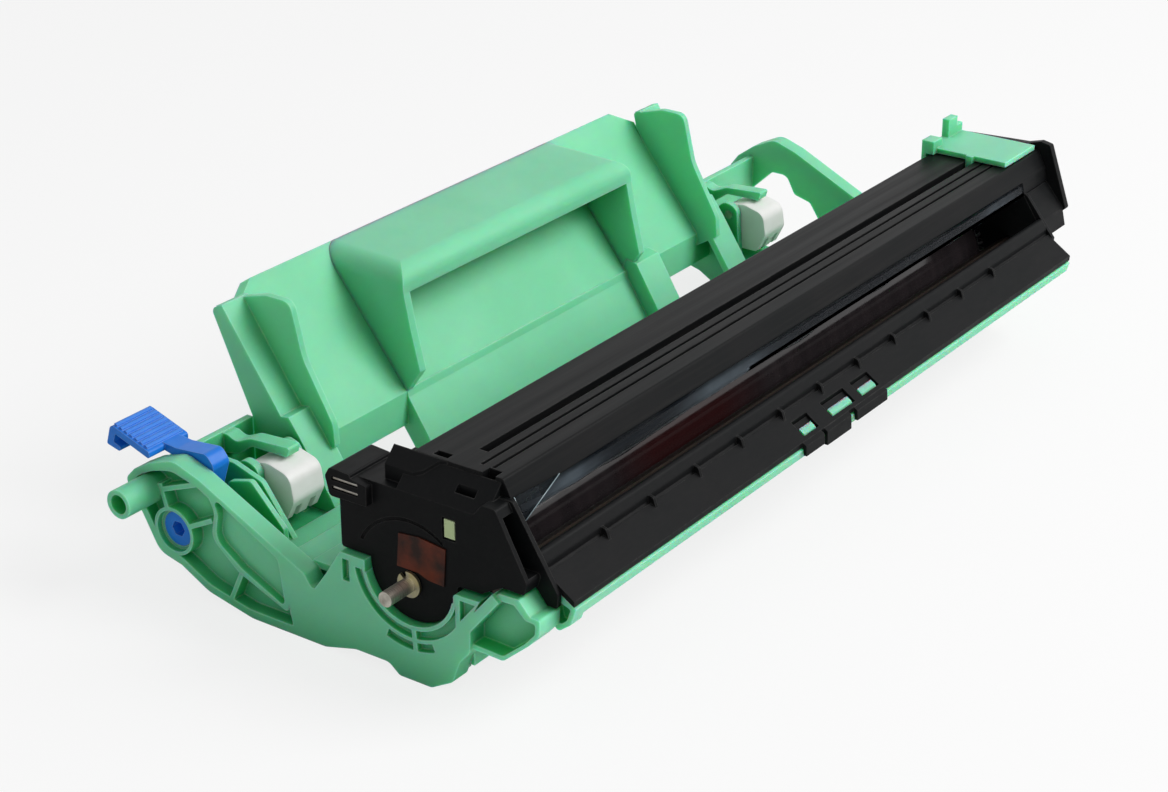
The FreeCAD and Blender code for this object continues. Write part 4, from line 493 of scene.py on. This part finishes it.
def white_paper(name):
    """Matt coated paper: even white that keeps a soft shadow and glows a little to the camera."""
    material, tree = empty_material(name)
    paper = add_node(tree, "ShaderNodeBsdfPrincipled", None, {
        "Base Color": linear("#F2F2F2"), "Roughness": 0.9})
    path = add_node(tree, "ShaderNodeLightPath")
    glow = add_node(tree, "ShaderNodeEmission", None, {
        "Color": (1.0, 1.0, 1.0, 1.0), "Strength": 1.0})
    seen = add_node(tree, "ShaderNodeMath", {"operation": "MULTIPLY"}, {
        0: path.outputs["Is Camera Ray"], 1: FLOOR_GLOW})
    mix = add_node(tree, "ShaderNodeMixShader", None, {
        0: seen.outputs["Value"], 1: paper.outputs["BSDF"], 2: glow.outputs["Emission"]})
    add_node(tree, "ShaderNodeOutputMaterial", None, {"Surface": mix.outputs["Shader"]})
    return material


# Pieces


def paint(node_names, material):
    """Gives CAD nodes one material and nothing else."""
    for name in node_names:
        mesh = NODES[name].data
        mesh.materials.clear()
        mesh.materials.append(material)


def new_piece(name, mesh, material, smooth=True):
    """Object on the frame from a finished bmesh."""
    bmesh.ops.recalc_face_normals(mesh, faces=mesh.faces)
    data = bpy.data.meshes.new(name)
    mesh.to_mesh(data)
    mesh.free()
    data.materials.append(material)
    if smooth:
        data.shade_smooth()
    piece = bpy.data.objects.new(name, data)
    bpy.context.scene.collection.objects.link(piece)
    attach(piece, "frame")
    return piece


def sheet_piece(name, rows, material):
    """Film through rows of (point, share of painted sheen), closed to a solid."""
    mesh = bmesh.new()
    painted_sheen = mesh.verts.layers.float.new("painted_sheen")
    grid = []
    for row in rows:
        line = []
        for point, amount in row:
            vertex = mesh.verts.new(point)
            vertex[painted_sheen] = amount
            line.append(vertex)
        grid.append(line)
    for upper, lower in zip(grid, grid[1:]):
        for corners in zip(upper, upper[1:], lower[1:], lower):
            mesh.faces.new(corners)
    bmesh.ops.solidify(mesh, geom=mesh.faces[:], thickness=FILM_THICKNESS * MM)
    return new_piece(name, mesh, material)


def rod_piece(name, points, radius_mm, material):
    """Round rod along a line of points."""
    mesh = bmesh.new()
    for start, end in zip(points, points[1:]):
        turn = (end - start).to_track_quat("Z", "Y").to_matrix().to_4x4()
        bmesh.ops.create_cone(
            mesh, cap_ends=True, segments=ROD_CORNERS, radius1=radius_mm * MM,
            radius2=radius_mm * MM, depth=(end - start).length,
            matrix=Matrix.Translation((start + end) / 2) @ turn)
    return new_piece(name, mesh, material)


def plate_piece(name, outline, x0, x1, material):
    """Flat plate across X, from an outline of (y, z) in millimetres."""
    mesh = bmesh.new()
    ends = [[mesh.verts.new(at(x, y, z)) for y, z in outline] for x in (x0, x1)]
    for end in ends:
        mesh.faces.new(end)
    for index in range(len(outline)):
        after = (index + 1) % len(outline)
        mesh.faces.new((ends[0][index], ends[0][after], ends[1][after], ends[1][index]))
    return new_piece(name, mesh, material, smooth=False)


def coil_piece(name, start, end, radius_mm, turns, material):
    """Coil spring from a start to an end point, as a round wire swept along a helix."""
    mesh = bmesh.new()
    axis = (end - start).normalized()
    side = axis.orthogonal().normalized()
    other = axis.cross(side)
    steps = COIL_STEPS * turns
    angles = [2 * math.pi * corner / WIRE_CORNERS for corner in range(WIRE_CORNERS)]
    rings = []
    for step in range(steps + 1):
        turn = 2 * math.pi * turns * step / steps
        out = side * math.cos(turn) + other * math.sin(turn)
        middle = start + (end - start) * step / steps + out * radius_mm * MM
        rings.append([
            mesh.verts.new(
                middle + (out * math.cos(angle) + axis * math.sin(angle)) * SPRING_WIRE / 2 * MM)
            for angle in angles])
    for first, second in zip(rings, rings[1:]):
        for corner in range(WIRE_CORNERS):
            after = (corner + 1) % WIRE_CORNERS
            mesh.faces.new((first[corner], first[after], second[after], second[corner]))
    mesh.faces.new(rings[0])
    mesh.faces.new(rings[-1])
    return new_piece(name, mesh, material)


def add_springs(material):
    """Springs behind the pushers and under the roller's bearings."""
    inset = SPRING_WIRE / 2 * MM
    for end in ("near", "far"):
        low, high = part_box(end + "_pusher_spring")
        middle = (low + high) / 2
        front = Vector((middle.x, low.y + inset, middle.z))
        rear = Vector((middle.x, high.y - inset, middle.z))
        coil = coil_piece(
            end + "_pusher_coil", front, rear, PUSHER_COIL_RADIUS, PUSHER_COIL_TURNS, material)
        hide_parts(end + "_pusher_spring")
        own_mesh(coil)
        low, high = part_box(end + "_bearing_spring")
        middle = (low + high) / 2
        foot = Vector((middle.x, middle.y, low.z + inset))
        top = Vector((middle.x, middle.y, high.z - inset))
        coil = coil_piece(
            end + "_bearing_coil", foot, top, BEARING_COIL_RADIUS, BEARING_COIL_TURNS, material)
        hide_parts(end + "_bearing_spring")
        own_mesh(coil)


def hump(x, middle, half_width):
    """Bell curve that is 1 at its middle."""
    return math.exp(-((x - middle) / half_width) ** 2)


def film_section(x):
    """Points of the film at x as (y, z, share of the painted sheen), from the bar to its free edge.
    """
    bulge = hump(x, *FILM_BULGE)
    sag = 1.9 * bulge + 0.8 * hump(x, *FILM_SAG)
    sway = 0.3 * math.sin(x / 7.0) + 0.2 * math.sin(x / 3.1 + 1.0)
    return (
        (-23.55, 47.2, 0.3),
        (-23.9 - 0.9 * bulge, 45.9, 0.8),
        (-24.2 - 1.1 * bulge, 44.6, 1.0),
        (-24.2 - 0.5 * bulge, 43.5, 0.8),
        (-23.2 + sway, 42.7 - sag * 0.5, 0.35),
        (-21.7 + sway, 42.1 - sag + 0.2 * math.sin(x / 5.0), 0.2),
    )


def film_painted_sheen(x):
    """How much painted sheen, a painted reflection, the film gets at x; the bulge itself keeps only
    the base share.
    """
    tinted = sum(share * hump(x, middle, width) for share, middle, width in FILM_SHEEN_PLACES)
    return (1 - hump(x, *FILM_BULGE)) ** 2 * tinted + FILM_SHEEN_BASE


def add_film(material, edge):
    """Loose film over the bar's front edge: it bulges, curls in and waves, and one corner is up."""
    low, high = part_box("film_strip")
    x0, x1 = (low.x - ORIGIN.x) / MM, (high.x - ORIGIN.x) / MM
    columns = []
    for step in range(FILM_STEPS + 1):
        x = x0 + (x1 - x0) * step / FILM_STEPS
        columns.append([(at(x, y, z), film_painted_sheen(x) * share) for y, z, share in film_section(x)])
    film = sheet_piece("loose_film", list(zip(*columns)), material)
    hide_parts("film_strip")
    top, foot, tip = [at(*corner) for corner in FLAP_CORNERS]
    middle = foot.lerp(tip, 0.5)
    # Third values are shares of painted sheen, a painted reflection
    flap = [
        [(top, 0.5), (top.lerp(tip, 0.5), 0.25), (tip, 0.3)],
        [(top.lerp(foot, 0.5), 0.25), (middle + (top - foot) * 0.1, 0.1), (middle, 0.2)],
        [(foot, 0.2), (foot.lerp(tip, 0.02), 0.2), (foot.lerp(tip, 0.04), 0.2)],
    ]
    sheet_piece("film_flap", flap, material)
    # Pale rod along the flap's edges: a painted highlight
    rod_piece("film_flap_edge_highlight", [top, foot, tip], FLAP_EDGE_RADIUS, edge)


def add_end_wall_and_window_shade(material):
    """Black end wall round the drum's far end, and black plates in the guide's windows as painted
    shade.
    """
    rim = [
        (WALL_HOLE_RADIUS * math.cos(turn), DRUM_AXIS_Z + WALL_HOLE_RADIUS * math.sin(turn))
        for turn in map(math.radians, WALL_HOLE_TURN)]
    plate_piece("far_drum_wall", WALL_FRONT + rim + WALL_FOOT, *WALL_ENDS, material)
    slope = (GUIDE_STEP.y - GUIDE_FRONT.y) / (GUIDE_STEP.x - GUIDE_FRONT.x)
    shade_plate = [
        (GUIDE_FRONT.x + back, GUIDE_FRONT.y + back * slope - depth)
        for back, depth in (
            (WINDOW_SHADE_FRONT, WINDOW_SHADE_TOP), (WINDOW_SHADE_REAR, WINDOW_SHADE_TOP),
            (WINDOW_SHADE_REAR, WINDOW_SHADE_BOTTOM), (WINDOW_SHADE_FRONT, WINDOW_SHADE_BOTTOM))]
    # Painted shade: black plates fill the windows where their insides are in shade
    for number, ends in enumerate(WINDOW_SHADE_ENDS):
        plate_piece("window_shade_plate_%d" % (number + 1), shade_plate, *ends, material)


# Settings


class DrumUnitColours(bpy.types.PropertyGroup):
    """Colours that a user would change."""

    green: bpy.props.StringProperty(
        name="Green ABS", description="sRGB hex of the green frame", default="#83DAB0")
    green_shade: bpy.props.StringProperty(
        name="Green ABS, second tone", description="sRGB hex of the frame's mottling",
        default="#7AD3A7")
    # Colour painted into the frame's corners and pockets as painted shade
    green_hollow_shade: bpy.props.StringProperty(
        name="Green ABS painted shade in hollows", description="sRGB hex of the frame's corners and pockets",
        default="#109E56")
    black: bpy.props.StringProperty(
        name="Black ABS", description="sRGB hex of the housing", default="#0D0F10")
    blue: bpy.props.StringProperty(
        name="Blue lever", description="sRGB hex of the lock lever", default="#1A78DE")


class DrumUnitSizes(bpy.types.PropertyGroup):
    """Sizes that a user would change."""

    green_edge: bpy.props.FloatProperty(
        name="Green edge rounding", description="Rounding of the green mouldings' edges",
        default=0.35 * MM, min=0.05 * MM, max=1.0 * MM, precision=5, unit="LENGTH")
    black_edge: bpy.props.FloatProperty(
        name="Black edge rounding", description="Rounding of the black mouldings' edges",
        default=0.3 * MM, min=0.05 * MM, max=1.0 * MM, precision=5, unit="LENGTH")


class DrumUnitStage(bpy.types.PropertyGroup):
    """Camera and lamps."""

    focal_length: bpy.props.FloatProperty(
        name="Focal length", description="Camera focal length on a 36 mm sensor",
        default=77.05, unit="CAMERA")
    key_power: bpy.props.FloatProperty(
        name="Key lamp", description="Power of the key lamp", default=13.0, unit="POWER")
    fill_power: bpy.props.FloatProperty(
        name="Fill lamp", description="Power of the fill lamp", default=1.2, unit="POWER")
    sky: bpy.props.FloatProperty(
        name="Room light", description="Strength of the even light from all round",
        default=0.26, min=0.0, max=2.0)


# Studio


def make_floor():
    """White paper floor under the part, outside the model."""
    bpy.ops.mesh.primitive_plane_add(size=FLOOR_SIZE, location=(0.0, 0.0, -FLOOR_DROP))
    floor = bpy.context.active_object
    floor.name = "floor"
    floor.data.materials.append(white_paper("matt white paper floor"))


def make_room(scene, strength):
    """White room: dim as light, full white to the camera, in gloss and through clear pieces."""
    world = bpy.data.worlds.new("white studio room")
    world.use_nodes = True
    tree = world.node_tree
    tree.nodes.clear()
    path = add_node(tree, "ShaderNodeLightPath")
    through = add_node(tree, "ShaderNodeMath", {"operation": "MAXIMUM"}, {
        0: path.outputs["Is Camera Ray"], 1: path.outputs["Is Transmission Ray"]})
    straight = add_node(tree, "ShaderNodeMath", {"operation": "MAXIMUM"}, {
        0: through.outputs["Value"], 1: path.outputs["Is Glossy Ray"]})
    level = add_node(tree, "ShaderNodeMapRange", None, {
        "Value": straight.outputs["Value"], "To Min": strength, "To Max": 1.0})
    background = add_node(tree, "ShaderNodeBackground", None, {
        "Color": (1.0, 1.0, 1.0, 1.0), "Strength": level.outputs["Result"]})
    add_node(tree, "ShaderNodeOutputWorld", None, {"Surface": background.outputs["Background"]})
    scene.world = world


def make_lamp(scene, name, place, power, size):
    """Square soft box that faces the part."""
    data = bpy.data.lights.new(name, "AREA")
    data.energy = power
    data.shape = "SQUARE"
    data.size = size
    lamp = bpy.data.objects.new(name, data)
    scene.collection.objects.link(lamp)
    lamp.location = at(*place)
    lamp.rotation_mode = "QUATERNION"
    lamp.rotation_quaternion = (at(*LAMP_TARGET) - at(*place)).to_track_quat("-Z", "Y")


def make_camera(scene, focal_length):
    """The photograph's camera: place and level horizon solved from the part's outlines."""
    data = bpy.data.cameras.new("photo camera")
    data.lens = focal_length
    data.sensor_width = SENSOR_WIDTH
    data.clip_start = 0.01
    data.clip_end = 20.0
    camera = bpy.data.objects.new("photo camera", data)
    scene.collection.objects.link(camera)
    forward = Vector(CAMERA_VIEW).normalized()
    right = forward.cross(Vector((0.0, 0.0, 1.0))).normalized()
    up = right.cross(forward)
    turn = Matrix((right, up, -forward)).transposed().to_4x4()
    camera.matrix_world = Matrix.Translation(at(*CAMERA_PLACE)) @ turn
    scene.camera = camera


# Operators


class DRUMUNIT_OT_green_mouldings(bpy.types.Operator):
    """Frame, handle and wire cleaner in spark-textured green ABS"""

    bl_idname = "drumunit.green_mouldings"
    bl_label = "Green mouldings"

    def execute(self, context):
        colours = context.scene.drum_colours
        paint(GREEN_NODES, green_abs(
            "moulded green ABS", colours.green, colours.green_shade, colours.green_hollow_shade,
            context.scene.drum_sizes.green_edge))
        return {"FINISHED"}


class DRUMUNIT_OT_black_mouldings(bpy.types.Operator):
    """End caps, charging bar, exit guide and bearings in black ABS"""

    bl_idname = "drumunit.black_mouldings"
    bl_label = "Black mouldings"

    def execute(self, context):
        colour = context.scene.drum_colours.black
        edge = context.scene.drum_sizes.black_edge
        satin = black_abs("moulded black ABS", colour, (3.0, 1.0, 1.0), 0.15, 0.42, edge)
        drawn = black_abs(
            "black ABS with drawing lines", colour, (40.0, 1.0, 1.0), 0.35, 0.40, edge)
        paint(SATIN_NODES, satin)
        paint(["corona_housing"], drawn)
        add_end_wall_and_window_shade(satin)
        return {"FINISHED"}


class DRUMUNIT_OT_lever_and_pushers(bpy.types.Operator):
    """Blue lock lever, white pushers and the small gears and blocks"""

    bl_idname = "drumunit.lever_and_pushers"
    bl_label = "Lever and pushers"

    def execute(self, context):
        blue = context.scene.drum_colours.blue
        paint(["lock_lever"], small_moulding(
            "moulded blue ABS", blue, "#207FE4", 0.38, SMALL_SPARK, 0.05))
        paint(WHITE_NODES, small_moulding(
            "moulded acetal, natural white", "#F3F3F1", "#EDEDEA", 0.40, SMALL_SPARK, 0.2))
        paint(IVORY_NODES, small_moulding(
            "moulded acetal, ivory", "#CFCBBE", "#C4C0B2", 0.40, SMALL_SPARK, 0.1))
        paint(DARK_NODES, small_moulding(
            "moulded acetal, black", "#121213", "#171718", 0.38, SMALL_SPARK))
        return {"FINISHED"}


class DRUMUNIT_OT_metal_parts(bpy.types.Operator):
    """Shafts, pins, springs, clip, grid and contacts"""

    bl_idname = "drumunit.metal_parts"
    bl_label = "Metal parts"

    def execute(self, context):
        rolled = turned_metal("rolled steel", "#C4C2BC", 0.3)
        paint(GROUND_NODES, turned_metal("ground steel", "#E2DED2", 0.4))
        paint(ROLLED_NODES, rolled)
        paint(["shaft_clip"], turned_metal("rolled brass", "#B7AE7C", 0.34))
        add_springs(rolled)
        paint(["brush_plate"], dark_spring_steel("dark spring steel"))
        paint(["shaft_contact"], tarnished_bronze("tarnished spring bronze"))
        paint(["grid_contact"], small_moulding(
            "pale contact lacquer", "#C6D6A2", "#B9CC98", 0.35, LACQUER_GRAIN))
        return {"FINISHED"}


class DRUMUNIT_OT_drum_and_rollers(bpy.types.Operator):
    """Drum coating, transfer roller foam, brush strip and film"""

    bl_idname = "drumunit.drum_and_rollers"
    bl_label = "Drum and rollers"

    def execute(self, context):
        paint(["opc_drum"], photo_coating("dip-coated photoconductor"))
        paint(FOAM_NODES, foam_rubber("conductive foam rubber"))
        add_film(smoky_film("smoky polyester film"), film_edge_highlight("painted highlight on cut edge of polyester film"))
        return {"FINISHED"}


class DRUMUNIT_OT_studio(bpy.types.Operator):
    """Floor, lamps, room light and the photograph's camera"""

    bl_idname = "drumunit.studio"
    bl_label = "Studio"

    def execute(self, context):
        scene = context.scene
        settings = scene.drum_stage
        make_floor()
        make_room(scene, settings.sky)
        make_lamp(scene, "key lamp", KEY_PLACE, settings.key_power, KEY_SIZE)
        make_lamp(scene, "fill lamp", FILL_PLACE, settings.fill_power, FILL_SIZE)
        make_camera(scene, settings.focal_length)
        scene.view_settings.view_transform = "Standard"
        return {"FINISHED"}


OPERATORS = (
    DRUMUNIT_OT_green_mouldings, DRUMUNIT_OT_black_mouldings, DRUMUNIT_OT_lever_and_pushers,
    DRUMUNIT_OT_metal_parts, DRUMUNIT_OT_drum_and_rollers, DRUMUNIT_OT_studio,
)
GROUPS = (
    ("drum_colours", DrumUnitColours), ("drum_sizes", DrumUnitSizes), ("drum_stage", DrumUnitStage))


class DRUMUNIT_PT_sidebar(bpy.types.Panel):
    """Sidebar panel that lists the settings and operators"""

    bl_idname = "DRUMUNIT_PT_sidebar"
    bl_label = "Drum unit"
    bl_space_type = "VIEW_3D"
    bl_region_type = "UI"
    bl_category = "Drum Unit"

    def draw(self, context):
        for attribute, group in GROUPS:
            settings = getattr(context.scene, attribute)
            for name in group.__annotations__:
                self.layout.prop(settings, name)
        for operator in OPERATORS:
            self.layout.operator(operator.bl_idname)


def register():
    """Adds the settings, operators and panel."""
    for _, group in GROUPS:
        bpy.utils.register_class(group)
    for operator in OPERATORS:
        bpy.utils.register_class(operator)
    bpy.utils.register_class(DRUMUNIT_PT_sidebar)
    for attribute, group in GROUPS:
        setattr(bpy.types.Scene, attribute, bpy.props.PointerProperty(type=group))


def unregister():
    """Takes the settings, operators and panel out again."""
    for attribute, _ in GROUPS:
        delattr(bpy.types.Scene, attribute)
    bpy.utils.unregister_class(DRUMUNIT_PT_sidebar)
    for operator in reversed(OPERATORS):
        bpy.utils.unregister_class(operator)
    for _, group in reversed(GROUPS):
        bpy.utils.unregister_class(group)


def main():
    """Dresses the part, piece group by piece group."""
    register()
    bpy.ops.drumunit.green_mouldings()
    bpy.ops.drumunit.black_mouldings()
    bpy.ops.drumunit.lever_and_pushers()
    bpy.ops.drumunit.metal_parts()
    bpy.ops.drumunit.drum_and_rollers()
    bpy.ops.drumunit.studio()


if __name__ == "__main__":
    main()
